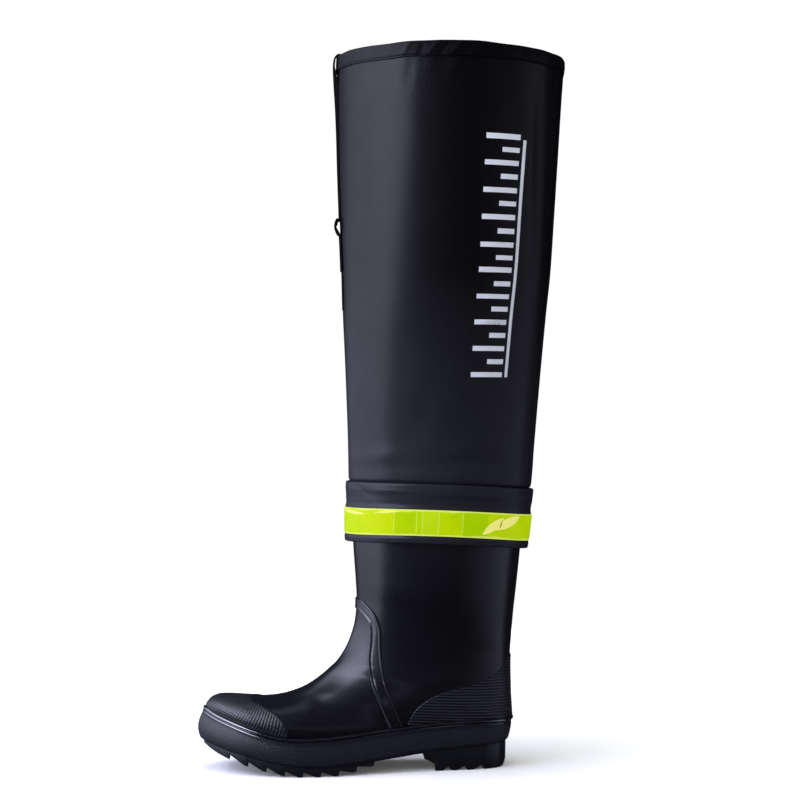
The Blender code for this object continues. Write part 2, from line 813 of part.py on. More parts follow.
def make_cuff():
    ring("cuff", CUFF_PROFILE, cuff_row, lambda height: 0.0, "fabric")
    tape = [
        RingPoint(TAPE_SEAT, TAPE_LOW),
        RingPoint(TAPE_SEAT, TAPE_HIGH),
        RingPoint(TAPE_SEAT + TAPE_THICK, TAPE_HIGH),
        RingPoint(TAPE_SEAT + TAPE_THICK, TAPE_LOW),
    ]
    ring("reflective_tape", tape, cuff_row, lambda height: 0.0, "tape")


def make_hem():
    top = SHAFT_ROWS[-1].front_z

    def seat(height):
        return shaft_row(shaft_level(top + min(height, 0.0)))

    ring("top_hem", HEM_PROFILE, seat, lambda height: max(0.0, height), "fabric")


def seam_angle(height):
    share = (height - SEAM_LOW) / (SEAM_HIGH - SEAM_LOW)
    return math.radians(155.0 + 6.0 * share)


def make_seam():
    low_rows = []
    high_rows = []
    for height in [SEAM_LOW] + [row.front_z for row in SHAFT_ROWS[3:-1]] + [SEAM_HIGH]:
        row = shaft_row(shaft_level(height))
        start = seam_angle(height)
        angles = [start + math.radians(SEAM_WIDTH_DEG) * share for share in (0.0, 0.5, 1.0)]
        low_rows.append([ring_point(row, angle, GAP + 0.3, 0.0) for angle in angles])
        high_rows.append([ring_point(row, angle, GAP + 0.3 + SEAM_THICK, 0.0) for angle in angles])
    slab("back_seam", low_rows, high_rows, "fabric")


def front_point(height, out, side):
    """Point in front of the shaft, following the two facets of its front."""
    row = shaft_row(shaft_level(min(height, SHAFT_ROWS[-1].front_z)))
    facet = 2 * math.pi / RING_COUNT
    depth = (row.front_x - row.back_x) / 2 * (1 - math.cos(facet))
    share = abs(side) / (row.half_width * math.sin(facet))
    return row.front_x - depth * share + out, side, height


def make_straps():
    sides = (-STRAP_WIDTH / 2, 0.0, STRAP_WIDTH / 2)
    low_rows = []
    high_rows = []
    for i, spot in enumerate(STRAP_PATH):
        before = STRAP_PATH[max(i - 1, 0)]
        after = STRAP_PATH[min(i + 1, len(STRAP_PATH) - 1)]
        turn = math.atan2(after.height - before.height, after.out - before.out) + math.pi / 2
        half = STRAP_THICK / 2
        out = half * math.cos(turn)
        rise = half * math.sin(turn)
        low = []
        high = []
        for side in sides:
            x, y, z = front_point(spot.height, spot.out, side)
            low.append(place(x - out, y, z - rise))
            high.append(place(x + out, y, z + rise))
        low_rows.append(low)
        high_rows.append(high)
    slab("hanger_strap", low_rows, high_rows, "webbing")
    low_rows = []
    high_rows = []
    for height in np.linspace(STRAP_BASE_LOW, STRAP_BASE_HIGH, 5):
        low_rows.append([place(*front_point(height, GAP, side)) for side in sides])
        high_rows.append([place(*front_point(height, GAP + STRAP_BASE_THICK, side)) for side in sides])
    slab("strap_base", low_rows, high_rows, "webbing")


for old in list(bpy.data.objects):
    bpy.data.objects.remove(old)

FOOT = CLOSED_SECTIONS
make_upper()
make_outsole()
make_insole()
make_layer("toe_cap", TOE_CAP_EDGE + bead_line(216, 300) + [EdgePoint(310, 90)], FOOT + 8, FOOT + OPEN_SECTIONS)
make_layer("heel_counter", COUNTER_EDGE + bead_line(104.6, -40), 4, FOOT + 9)
make_layer("instep_band", BAND_REAR_EDGE + bead_line(108, 122) + BAND_FRONT_EDGE, 2, FOOT + 11)
make_shaft()
make_cuff()
make_hem()
make_seam()
make_straps()
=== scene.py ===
"""Looks of the thigh-length rubber boot: finer forms of its solids, finishes, light and camera.

Sizes are millimetres in the frame of the solids; meshes are made in metres. A station is a distance
forward of the heel, and an angle round the leg starts at its front and goes over the outer side.
"""
import math
from collections import namedtuple

import bmesh
import bpy
import numpy as np
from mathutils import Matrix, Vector
from mathutils.bvhtree import BVHTree


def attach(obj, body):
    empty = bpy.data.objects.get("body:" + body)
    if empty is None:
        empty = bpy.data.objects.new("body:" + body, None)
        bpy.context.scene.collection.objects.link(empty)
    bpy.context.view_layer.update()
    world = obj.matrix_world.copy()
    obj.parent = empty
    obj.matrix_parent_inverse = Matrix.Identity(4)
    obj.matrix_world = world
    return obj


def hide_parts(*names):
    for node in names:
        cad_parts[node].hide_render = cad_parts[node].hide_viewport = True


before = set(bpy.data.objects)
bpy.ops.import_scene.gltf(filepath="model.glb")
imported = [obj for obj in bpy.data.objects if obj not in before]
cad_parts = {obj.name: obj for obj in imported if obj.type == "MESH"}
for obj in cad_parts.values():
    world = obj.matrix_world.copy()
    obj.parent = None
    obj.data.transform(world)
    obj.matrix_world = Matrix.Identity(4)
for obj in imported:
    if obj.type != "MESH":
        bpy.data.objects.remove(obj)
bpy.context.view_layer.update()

MM = 0.001
WELD_DISTANCE = 1e-5
GAP = 0.3
ORIGIN_STATION = 123.9

# Camera of the photograph
VIEW_AZIMUTH = 174.0
VIEW_DISTANCE = 1850.0
VIEW_AIM = (-16.6, 1.9, 350.9)
VIEW_WIDTH = 768.0
SENSOR = 36.0

# Counts and steps of the finer meshes; the first two say leg, foot, round and inside
UPPER_GRID = (60, 110, 100, 3)
COUNTER_GRID = (160, 240, 240, 4)
SOLE_STEPS = 740
FOXING_STEPS = 38
CAP_STEP = 0.65
RING_STEPS = 180
SHAFT_STEPS = (8, 50, 150)
INSOLE_STEPS = 70
FINE_STEPS = 400
CUFF_STEP = 2.5
HEM_STEP = 1.6
TAPE_STEPS = 26
SEAM_STEPS = (120, 15)
STRAP_STEPS = 13
STRAP_BASE_STEPS = 40
RULE_GRID = (90, 2)
BAR_GRID = (4, 14)
PANEL_STEPS = 40

# Walls and layers, as in the solids
UPPER_WALL = 2.5
SHAFT_WALL = 1.0
LAYER = 1.0

# Insole, plan, tread, heel and side of the sole
INSOLE_EDGE = [(0.0, 0.0), (0.0, 2.7), (0.3, 3.3), (1.0, 3.5)]
INSOLE_PLAY = 1.4
HEEL_BACK = -2.6
TOE_FRONT = 300.0
TOE_OFFSET = -8.0
TREAD_INSET = 2.0
TREAD_OVERLAP = 1.5
TREAD_ROUND = 0.35
TREAD_SHARP_DEG = 24
LUG_DEPTH = 4.4
LUG_LAND = 3.5
LUG_STEP = 0.9
LUG_REAR = 136.3
LUG_PITCH = 16.8
LUG_COUNT = 9
LUG_START_RISE = 0.5
TREAD_TOE = (282.0, 289.0, 294.5)
HEEL_BREAST = 77.0
BREAST_HOLLOW = 5.0
BREAST_LEAN = 2.0
BREAST_SKEW = 3.0
BREAST_SKEW_TOP = 8.0
HEEL_TAPER = 2.0
SHOULDER_DROP = 6.5
SHOULDER_SQUARE = 0.55
GROOVE_DROP = 3.5
GROOVE_INSET = 0.8
FOXING_START = 0.07
BULGE_AT = 0.4
SEAT_CLEAR = 0.35

# Cuff and tape, by heights over the cuff's lower edge
CUFF_HEIGHT = 56.8
TAPE_LOW = 7.5
TAPE_HIGH = 32.5
TAPE_SEAT = 3.6
TAPE_THICK = 0.6

# Section of the tape: widths of its rim, border and rise, shares of its thickness, back and ripples
TAPE_RIM = 0.5
TAPE_BORDER = 1.44
TAPE_SWELL = 2.4
TAPE_SHARES = (0.35, 0.25, 0.4)
TAPE_BACK = 0.1
TAPE_RIPPLE = 0.12
TAPE_RIPPLES = 5
TAPE_PHASE = 0.6

# Straps, their bight, and the facets of the shaft's front behind them
STRAP_WIDTH = 20.0
STRAP_THICK = 0.9
STRAP_BASE_LOW = 437.0
STRAP_BASE_HIGH = 506.0
STRAP_BASE_THICK = 0.6
STRAP_OPEN = 668.0
STRAP_LIE = 0.75
STRAP_ROUND = 0.45
HUG_FADE = 14.0
FACET_DEG = 12.0
FACET_POWER = 1.6
BIGHT_TOP = 530.0
BIGHT_START = 1.8
BIGHT_FADE = 2.5
BIGHT_TILT = 1.6
BIGHT_SKEW = 2.6

# Lapped seam near the back of the shaft
SEAM_LOW = 278.0
SEAM_HIGH = 662.0
SEAM_ANGLE = 155.0
SEAM_TURN = 6.0
SEAM_WIDTH_DEG = 8.0
SEAM_WIDTH = 14.0
SEAM_LIFT = 0.02
SEAM_ROUND = 1.2
SEAM_BACK = -0.1
SEAM_OUT = 0.6
SEAM_THICK = 0.6

# Ribs of the heel counter, which slope a little round an upright axis
RIB_PITCH = 2.75
RIB_HEIGHT = 0.5
RIB_SLOPE = 0.055
RIB_CENTRE = 110.0
RIB_POWER = 1.4
RIB_SAMPLES = 8
COUNTER_ANGLES = (92, 268, 230)
COUNTER_HEIGHTS = (46.0, 114.0)

# Fine diagonal points moulded on the toe cap and the foxing
FOXING_PITCH = 3.0
CAP_PITCH = 4.2
CAP_KNURL = 0.65
FOXING_KNURL = 0.55
KNURL_START = 0.08
KNURL_FADE = 0.05
CAP_KNURL_START = 1.2
CAP_KNURL_FADE = 0.8

# Shares of the sole's side: where its knurl ends, where its gloss starts, and steps of its shoulder
SMOOTH_STRIP = 0.98
GLOSSY_FROM = 1.3
SHOULDER_SHARES = (0.16, 0.33, 0.5, 0.67, 0.84, 1.0)


def rows_of(kind, rows):
    return [kind(*row) for row in rows]


PlanRow = namedtuple("PlanRow", "station outer inner")
SOLE_PLAN = rows_of(PlanRow, [
    (6, 22, -22), (22, 34, -33.5), (48, 38, -36.5), (80, 39, -34.5), (112, 43, -34), (145, 50, -37.5),
    (175, 54.5, -45), (205, 55, -51.5), (235, 50, -53), (262, 39.5, -48), (284, 22, -37), (296, 6, -23),
])

# Heights along the sole: underside of the foxing, floor inside, welt bead, lowest points of the lugs
HeightRow = namedtuple("HeightRow", "station under floor bead lugs")
SOLE_HEIGHTS = rows_of(HeightRow, [
    (0, 25.0, 32.0, 47.0, 8.0), (40, 22.4, 30.0, 48.0, 8.0), (80, 18.8, 27.0, 46.2, 8.0),
    (111, 15.0, 22.8, 43.2, 8.0), (136, 12.3, 19.8, 41.2, 8.0), (156, 9.9, 17.2, 39.0, 3.2),
    (180, 8.3, 15.6, 36.9, 0.0), (207, 9.4, 16.4, 36.3, 0.0), (220, 11.4, 18.0, 37.1, 1.2),
    (247, 16.7, 23.6, 43.2, 7.0), (265, 20.6, 28.4, 49.0, 12.0), (282, 25.2, 33.6, 55.0, 18.2),
    (298, 30.0, 37.0, 62.5, 27.0),
])

# How far the loops of the sole stand inside its plan, and how wide its bead is
InsetRow = namedtuple("InsetRow", "station rim shoulder middle under bead floor")
SOLE_INSETS = rows_of(InsetRow, [
    (0, 0.4, 1.8, 3.4, 5.1, 1.3, 11.5), (40, 0.4, 1.2, 2.0, 3.6, 1.6, 8.5),
    (110, 0.6, 0.6, 0.5, 1.8, 2.4, 6.5), (200, 1.6, 0.8, 0.1, 1.2, 3.0, 6.5),
    (262, 3.4, 2.2, 0.0, 1.8, 3.0, 8.0), (300, 5.4, 4.0, 0.0, 2.8, 3.0, 11.0),
])

# Lower edge of the foxing and bead of the welt: distance in, height over the underside or the rim
BeadPoint = namedtuple("BeadPoint", "inset rise")
UNDER_ROUND = rows_of(BeadPoint, [(2.2, 0.0), (0.7, 0.1), (0.2, 0.5)])
BEAD_ROUND = rows_of(BeadPoint, [
    (0.7, -3.1), (0.0, -2.8), (-0.45, -2.3), (-0.6, -1.6), (-0.5, -0.9), (-0.1, -0.3), (0.5, 0.0),
])

# Sections of the upper from collar to heel: front point, back point and half width
LegRow = namedtuple("LegRow", "front_x front_z back_x back_z half_width")
UPPER_LEG = rows_of(LegRow, [
    (154.5, 262, -12.4, 254, 61.0), (153.5, 240, -11.1, 232, 60.5), (151.8, 208, -8.3, 201, 59.5),
    (149.8, 180, -5.2, 172, 57.5), (148.8, 160, -2.3, 146, 54.5), (150.2, 142, -0.2, 121, 51.0),
    (154.4, 126, 1.0, 98, 47.8), (160.6, 112.2, 0.6, 73, 45.5),
])

# Sections of the foot from heel to toe: top point, station on the bead, half width, side shift of the top
FootRow = namedtuple("FootRow", "top_x top_z base half_width shift")
UPPER_FOOT = rows_of(FootRow, [
    (168.8, 100.4, 0, 44.0, 0), (174.9, 94.8, 12, 43.4, 0), (181.6, 89.0, 32, 43.0, 0),
    (189.2, 83.2, 58, 43.0, 0), (197.8, 77.6, 88, 43.5, 0), (208.5, 72.6, 120, 45.0, -1),
    (221.0, 68.6, 152, 48.0, -2), (234.0, 66.8, 182, 51.0, -3), (247.0, 66.6, 210, 52.5, -4),
    (258.0, 67.3, 235, 50.0, -5), (268.0, 68.2, 255, 43.5, -6), (277.0, 68.4, 271, 35.0, -7),
    (284.5, 66.8, 282, 24.0, -7.5), (289.2, 63.2, 289, 12.0, -8), (291.4, 60.0, 291.5, 2.0, -8),
])
FOOT_SQUARE = 0.86
SQUARE_BY = 6.4
CAP_FIRST_ROW = 15.4
TIP_SPARE = 0.002
REACH_SPARE = 1.03
WIDTH_BLEND = 3.0

# How late each section drops on its way back, by its row counted from the collar
BowRow = namedtuple("BowRow", "row power")
SECTION_BOW = rows_of(BowRow, [
    (0, 1.0), (3, 1.1), (6, 2.2), (8, 3.0), (11, 2.2), (14, 1.3), (17, 1.0),
])

# Rows of the fabric shaft, from the end over the rubber collar up to the rim, whose sides stand higher
ShaftRow = namedtuple("ShaftRow", "front_x front_z back_x back_z half_width crown")
SHAFT_ROWS = rows_of(ShaftRow, [
    (154.9, 240, -12.6, 232, 61.9, 0), (155.9, 262, -13.9, 254, 62.4, 0),
    (156.5, 275, -19.4, 268, 69.0, 0), (157.2, 312, -22.9, 310, 71.0, 0),
    (158.6, 353, -26.4, 353, 74.0, 0), (160.2, 393, -29.9, 393, 77.0, 0),
    (162.0, 433, -33.6, 433, 80.0, 0), (163.0, 473, -37.7, 473, 82.5, 0),
    (165.3, 530, -41.4, 530, 85.0, 0), (167.0, 590, -45.1, 590, 87.0, 0.6),
    (167.5, 640, -48.2, 640, 88.0, 1.8), (167.2, 677.6, -50.9, 675.2, 88.5, 3.4),
])

# Seat of the cuff at its lower and upper edge
CUFF_ROWS = rows_of(ShaftRow, [
    (156.5, 216.5, -12.6, 208.5, 67.5, 4.5), (156.5, 273.3, -19.4, 265.5, 69.0, 2.5),
])

# Cross-sections of the rings: distance out from the seat, height over the cuff's or under the rim's edge
RingPoint = namedtuple("RingPoint", "out height")
CUFF_PROFILE = rows_of(RingPoint, [
    (1.3, 57.0), (2.4, 56.6), (2.8, 54.6), (2.9, 50.0), (2.3, 43.0), (2.2, 37.0), (3.0, 33.2),
    (3.3, 20.0), (3.3, 7.0), (4.0, 4.6), (3.6, 0.4), (2.0, -0.2), (1.0, 1.4), (0.4, 20.0), (0.3, 56.0),
])
HEM_PROFILE = rows_of(RingPoint, [
    (0.3, -13.2), (1.5, -13.2), (1.5, -12.2), (1.2, -11.4), (1.5, -10.4), (1.4, -6.0), (1.1, 0.6),
    (0.3, 1.5), (-1.5, 1.5), (-2.3, 0.6), (-2.3, -13.0), (-1.3, -13.0), (-1.3, 0.4), (0.3, 0.4),
])

# Middle line of the hanging strap: distance out from the shaft's front, height
STRAP_PATH = rows_of(RingPoint, [
    (-3.2, 644.0), (-3.3, 662.0), (-3.4, 677.0), (-2.6, 679.8), (-0.5, 680.6), (1.9, 679.8),
    (3.5, 676.2), (4.1, 668.0), (3.3, 652.0), (1.9, 630.0), (1.0, 600.0), (0.75, 565.0), (0.75, 525.5),
    (1.5, 523.3), (4.4, 521.4), (6.1, 518.0), (5.9, 514.6), (4.2, 511.2), (2.0, 509.0), (1.3, 505.0),
    (1.25, 474.0),
])

# Edges of the layers on the upper, seen from the side: station, height
EdgePoint = namedtuple("EdgePoint", "station height")
TOE_CAP_EDGE = rows_of(EdgePoint, [
    (252, 90), (250, 69), (242, 65), (233, 60.5), (224, 54), (219, 48), (216.5, 41), (215, 30),
])
COUNTER_EDGE = rows_of(EdgePoint, [
    (-40, 108), (0, 107), (7.5, 101), (18, 91), (43, 81.5), (63, 77.5), (78.5, 72.5), (92, 64),
    (99, 56.5), (103.6, 47), (107, 38),
])
BAND_REAR_EDGE = rows_of(EdgePoint, [
    (190, 168), (150, 162), (142, 158), (133.2, 147.5), (129.2, 135), (128.7, 116), (127.3, 98),
    (123.4, 79), (113.5, 55), (105, 36),
])
BAND_FRONT_EDGE = rows_of(EdgePoint, [
    (119, 36), (125.0, 48.6), (133.8, 69.4), (139.0, 88), (140.4, 106.5), (138.4, 125), (139.2, 140),
    (145.7, 148.5), (152, 152), (190, 156),
])

# Distances from a layer's edge that get a line of points
BAND_CONTOURS = [0.2, 0.5, 0.9, 1.4, 2.0, 2.6, 3.2, 3.8, 4.4]
LAYER_CONTOURS = [0.2, 0.5, 1.0]

# Grid of the band, and the lips along its edges, which fade in away from the front
BAND_LEVELS = (2.0, 15.0, 300)
BAND_TURNS = 220
Lip = namedtuple("Lip", "rise away width")
BAND_REAR_LIPS = rows_of(Lip, [(0.4, 1.0, 0.5), (-0.2, 2.2, 0.6)])
BAND_FRONT_LIPS = rows_of(Lip, [(0.8, 1.0, 0.7), (-0.35, 2.6, 0.8)])
LIP_START = 0.05
LIP_FADE = 0.15

# Backs of the layers, shares of the gap under their edges, rounding of the edges, and the ribs' valleys
LAYER_BACK = -0.2
EDGE_LIFT = 0.3
BAND_EDGE_LIFT = 0.2
LAYER_ROUND = 1.0
BAND_ROUND = 0.7
COUNTER_VALLEY = 0.72

# Heel underside from back to front: station, height
HEEL_UNDER = rows_of(EdgePoint, [
    (5.2, 6.0), (7.0, 3.4), (9.0, 1.4), (12.0, 0.0), (16.5, 0.0), (22.5, 0.0), (29.6, 0.0), (30.4, 5.2),
    (39.5, 0.0), (46.2, 0.0), (47.0, 5.0), (55.5, 0.0), (62.0, 0.0), (62.8, 4.4), (70.0, 0.0),
    (HEEL_BREAST, 0.0),
])
HEEL_COLUMNS = 9

# Soft troughs and ridges of the rubber, seen from the side: middle, half length, half width, slope, height
Form = namedtuple("Form", "station height length width slope_deg rise")
UPPER_FORMS = rows_of(Form, [
    (74, 88, 26, 10, -16, 1.0), (112, 152, 40, 10, 18, -0.4), (108, 170, 40, 11, 12, 0.35),
    (58, 134, 40, 12, -8, -0.35), (20, 190, 18, 40, 80, 0.4),
])

# Soft troughs and ridges of the shaft: angle, height, half length, half width, slope, height out
Crease = namedtuple("Crease", "angle_deg height length width slope_deg rise")
SHAFT_CREASES = rows_of(Crease, [
    (75, 660, 9, 2.8, 84, 0.45), (81, 660, 8, 2.4, 82, -0.4), (87, 658, 12, 2.8, 76, 0.5),
    (94, 660, 9, 3.0, 95, -0.3), (64, 652, 16, 3.4, 82, -0.4), (118, 652, 22, 4.0, 98, 0.5),
    (128, 600, 70, 9.0, 96, 0.8), (138, 560, 90, 8.0, 92, -0.7), (113, 420, 14, 2.6, 14, -0.9),
    (112, 425, 14, 2.6, 10, 0.6), (100, 360, 26, 8.0, -28, 0.6), (120, 345, 22, 7.0, 24, -0.6),
    (70, 330, 40, 12.0, 70, -0.7), (96, 296, 60, 6.0, 3, -0.8), (132, 300, 30, 5.0, -8, 0.8),
    (40, 300, 40, 6.0, 4, 0.6), (30, 480, 120, 14.0, 88, -0.8), (150, 460, 110, 10.0, 91, 0.6),
    (215, 600, 80, 12.0, 86, -1.0), (236, 440, 110, 14.0, 96, 0.9), (262, 560, 90, 12.0, 80, -0.9),
    (285, 360, 60, 11.0, 40, 0.8), (300, 640, 30, 5.0, 90, -0.7), (252, 652, 16, 3.2, 88, 0.7),
    (270, 300, 80, 6.0, -3, -0.9),
])
HEM_CREASES = rows_of(Crease, [
    (62, -6, 9, 2.4, 60, 0.5), (70, -7, 9, 2.0, 75, -0.5), (76, -5, 10, 2.2, 55, 0.8),
    (81, -7, 10, 2.0, 58, -0.7), (87, -6, 11, 2.4, 52, 0.8), (93, -7, 10, 2.2, 60, -0.5),
    (108, -6, 9, 2.6, 118, 0.5), (121, -7, 10, 2.6, 70, -0.5), (133, -6, 9, 2.4, 62, 0.5),
    (40, -7, 9, 2.6, 100, 0.4), (170, -6, 9, 2.6, 70, 0.5), (206, -6, 10, 2.8, 110, -0.6),
    (243, -7, 10, 2.6, 65, 0.7), (250, -6, 9, 2.4, 72, -0.6), (287, -6, 10, 2.8, 115, 0.6),
    (325, -7, 9, 2.6, 70, -0.5),
])
CUFF_CREASES = rows_of(Crease, [
    (58, 49, 50, 2.6, -2, 0.3), (86, 45, 46, 2.8, 3, 0.35), (120, 47, 50, 3.0, -3, 0.4),
    (104, 39, 44, 2.2, -2, 0.25), (148, 51, 22, 3.0, 8, -0.6), (30, 50, 14, 3.0, -20, -0.6),
    (200, 47, 50, 2.8, 4, 0.6), (240, 42, 50, 2.6, -5, -0.5), (290, 48, 60, 2.8, 3, 0.5),
    (330, 44, 40, 2.6, -4, 0.5),
])

# Cross welds of the tape by angle, cells of another tint, leaf-shaped painted highlights where the film's
# relief also rises a little, and a painted shaded crease between two of them
TAPE_MM_PER_DEG = 1.36
TAPE_WELDS = [57.0, 71.5, 75.0, 85.0, 99.5]
TapeCell = namedtuple("TapeCell", "start end share colour")
TAPE_CELLS = rows_of(TapeCell, [
    (0.0, 56.0, 0.5, (0.33, 0.42, 0.0)), (57.0, 71.5, 0.6, (0.24, 0.36, 0.0)),
    (75.0, 85.0, 0.4, (0.31, 0.42, 0.01)), (99.5, 116.0, 0.7, (0.20, 0.36, 0.0)),
])
# Painted highlights: leaf-shaped patches painted paler on the film, which also raise its relief a little
TAPE_HIGHLIGHT_LEAVES = rows_of(Crease, [
    (120.4, 12.0, 14.0, 4.2, 39, 1.0), (131.5, 15.6, 18.0, 4.8, 23, 1.0),
    (20.0, 21.0, 22.0, 1.6, -4, 0.8), (52.0, 22.2, 14.0, 1.2, 4, 0.8),
    (220.0, 13.0, 20.0, 4.0, -20, 0.8), (300.0, 12.0, 16.0, 3.6, 25, 0.8),
])
# Painted shade: a thin dark crease painted between the two largest highlights
TAPE_SHADED_CREASE = Crease(126.0, 14.4, 5.0, 0.9, 76, 0.8)

# Plain gauge printed on the outer side of the shaft
GAUGE_LOW = 372.0
GAUGE_HIGH = 592.0
GAUGE_PITCH = 12.2
GAUGE_ANGLE = 124.0
GAUGE_LEAN = -0.025
GAUGE_RULE = 3.4
GAUGE_START = 6.4
GAUGE_LONG = 32.0
GAUGE_SHORT = 17.0
GAUGE_BAR = 4.6
PRINT_OUT = 0.12

# Room and backdrop
ROOM_COLOUR = (0.80, 0.84, 1.0, 1.0)
ROOM_GLOW = 0.02
BACKDROP_COLOUR = (1.0, 1.0, 0.995, 1.0)
BACKDROP_GLOW = 1.02

# Floor, drawn back from the camera so that the leg doesn't mirror it.
# Its glow grows from the first value to the second between two distances in metres.
FLOOR_RADIUS = 700.0
FLOOR_BACK = 480.0
FLOOR_CORNERS = 96
FLOOR_GLOW = (0.06, 0.7, 0.12, 0.75)
FLOOR_LOOK = {
    "Base Color": (0.85, 0.85, 0.86, 1.0),
    "Roughness": 0.6,
    "Specular IOR Level": 0.2,
    "Emission Color": (1.0, 1.0, 0.94, 1.0),
}

# Stitches of the hem
STITCH_PITCH = 3.2
STITCH_LENGTH = 2.6
STITCH_RADIUS = 0.34
STITCH_DROP = -11.4
STITCH_OUT = 1.3
STITCH_BLUNT = 0.96

# Unevenness of the rim, the tuck of the shaft over the cuff's top edge, and the hollow of its seam
RIM_WAVE = 0.3
Wave = namedtuple("Wave", "count share phase")
RIM_WAVES = rows_of(Wave, [(5, 1.0, 0.4), (11, 0.7, 1.9), (19, 0.4, 0.0)])
WAVE_REACH = 60.0
TUCK = Lip(1.3, 0.0, 1.8)
TUCK_LOW = 262
TUCK_HIGH = 286
SEAM_HOLLOW = Lip(0.2, 3.2, 0.6)

# Radii at which angles round the leg become lengths
SHAFT_RADIUS = 90.0
CUFF_RADIUS = 80.0
HEM_RADIUS = 95.0
STITCH_RING = 98.0
PRINT_RADIUS = 92.0

# Where creases fade out on the shaft, upward and under the rim, and on the cuff, outward and over the tape
CREASE_LOW = 280.0
CREASE_FADE = 14.0
CREASE_STOP = 7.0
CREASE_END = 6.0
CUFF_CREASE_OUT = 1.2
CUFF_CREASE_FADE = 0.6
CUFF_CREASE_RISE = 3.0


def smooth(xs, ys, where):
    """Monotone cubic through a table, flat beyond its ends."""
    xs = np.asarray(xs, float)
    ys = np.asarray(ys, float)
    step = np.diff(xs)
    slope = np.diff(ys) / step
    tangent = np.zeros(len(xs))
    tangent[0] = slope[0]
    tangent[-1] = slope[-1]
    for i in range(1, len(xs) - 1):
        if slope[i - 1] * slope[i] > 0:
            before = 2 * step[i] + step[i - 1]
            after = step[i] + 2 * step[i - 1]
            tangent[i] = (before + after) / (before / slope[i - 1] + after / slope[i])
    at = np.clip(np.asarray(where, float), xs[0], xs[-1])
    span = np.clip(np.searchsorted(xs, at, side="right") - 1, 0, len(xs) - 2)
    t = (at - xs[span]) / step[span]
    low = ys[span] * (1 + 2 * t) * (1 - t) ** 2 + ys[span + 1] * t * t * (3 - 2 * t)
    return low + step[span] * (tangent[span] * t * (1 - t) ** 2 + tangent[span + 1] * t * t * (t - 1))


def circle(count):
    return np.linspace(0, 2 * math.pi, count + 1)[:-1]


def eased(count):
    """Shares from zero to one, close together at both ends."""
    return (1 - np.cos(np.linspace(0, math.pi, count))) / 2


def fade_in(value, start, length):
    """Share that grows from zero at a start to one; a negative length turns it round."""
    return np.clip((value - start) / length, 0, 1)


def run_along(points):
    """Distance run to each point of a line."""
    return np.concatenate([[0.0], np.cumsum(np.linalg.norm(np.diff(points, axis=0), axis=1))])


def moved(faces, start):
    return [[start + i for i in face] for face in faces]


def column(rows, name):
    return [getattr(row, name) for row in rows]


def sole_height(name, station):
    return smooth(column(SOLE_HEIGHTS, "station"), column(SOLE_HEIGHTS, name), station)


def sole_inset(name, station):
    return smooth(column(SOLE_INSETS, "station"), column(SOLE_INSETS, name), station)


def spline(corners, steps, closed):
    """Smooth curve through points, with a number of steps for each."""
    p1 = np.array(corners, float)
    p0 = np.roll(p1, 1, axis=0)
    p2 = np.roll(p1, -1, axis=0)
    p3 = np.roll(p1, -2, axis=0)
    if not closed:
        p0[0] = 2 * p1[0] - p1[1]
        p3[-2] = 2 * p1[-1] - p1[-2]
    curve = []
    for t in np.arange(steps) / steps:
        blend = 2 * p1 + (p2 - p0) * t + (2 * p0 - 5 * p1 + 4 * p2 - p3) * t ** 2
        curve.append((blend + (3 * p1 - p0 - 3 * p2 + p3) * t ** 3) / 2)
    curve = np.stack(curve, axis=1)
    if closed:
        return curve.reshape(-1, curve.shape[2])
    return np.vstack([curve[:-1].reshape(-1, curve.shape[2]), p1[-1:]])


def plan_curve():
    """Dense closed plan of the sole, from the heel's back along the outer side and round the toe."""
    corners = [(HEEL_BACK, 0.0)]
    corners += [(row.station, row.outer) for row in SOLE_PLAN]
    corners += [(TOE_FRONT, TOE_OFFSET)]
    corners += [(row.station, row.inner) for row in reversed(SOLE_PLAN)]
    return spline(corners, 24, True)


PLAN = plan_curve()


def plan_sides(inset):
    """Outer and inner side of the plan drawn in by a function of the station."""
    along = np.roll(PLAN, -1, axis=0) - np.roll(PLAN, 1, axis=0)
    along /= np.linalg.norm(along, axis=1)[:, None]
    inward = np.stack([along[:, 1], -along[:, 0]], axis=1)
    curve = PLAN + inward * np.asarray(inset(PLAN[:, 0]))[:, None]
    back = int(np.argmin(curve[:, 0]))
    curve = np.roll(curve, -back, axis=0)
    front = int(np.argmax(curve[:, 0]))
    outer = curve[:front + 1]
    inner = np.vstack([curve[:1], curve[front:][::-1]])
    return outer, inner


def side_at(side, station):
    order = np.argsort(side[:, 0])
    return np.interp(station, side[order, 0], side[order, 1])


def along_plan(sides, share):
    """Stations and both sides of a plan at shares of its own length."""
    outer, inner = sides
    station = outer[0, 0] + share * (outer[-1, 0] - outer[0, 0])
    return station, side_at(outer, station), side_at(inner, station)


def rim_inset(station):
    return sole_inset("rim", station) + sole_inset("bead", station)


def floor_inset(station):
    return sole_inset("floor", station)


LEG_ROWS = len(UPPER_LEG)
FOOT_ROWS = len(UPPER_FOOT)
LAST_ROW = LEG_ROWS + FOOT_ROWS - 1
FRONT_X = column(UPPER_LEG, "front_x") + column(UPPER_FOOT, "top_x")
FRONT_Z = column(UPPER_LEG, "front_z") + column(UPPER_FOOT, "top_z")
WIDTHS = column(UPPER_LEG, "half_width") + column(UPPER_FOOT, "half_width")
ROW_INDEX = list(range(LAST_ROW + 1))
RIM_SIDES = plan_sides(rim_inset)
FLOOR_SIDES = plan_sides(floor_inset)
HEEL_POINT = (RIM_SIDES[0][0, 0], float(sole_height("bead", RIM_SIDES[0][0, 0])))


def place(x, y, z):
    return np.stack(np.broadcast_arrays(np.asarray(x) - ORIGIN_STATION, y, z), axis=-1) * MM


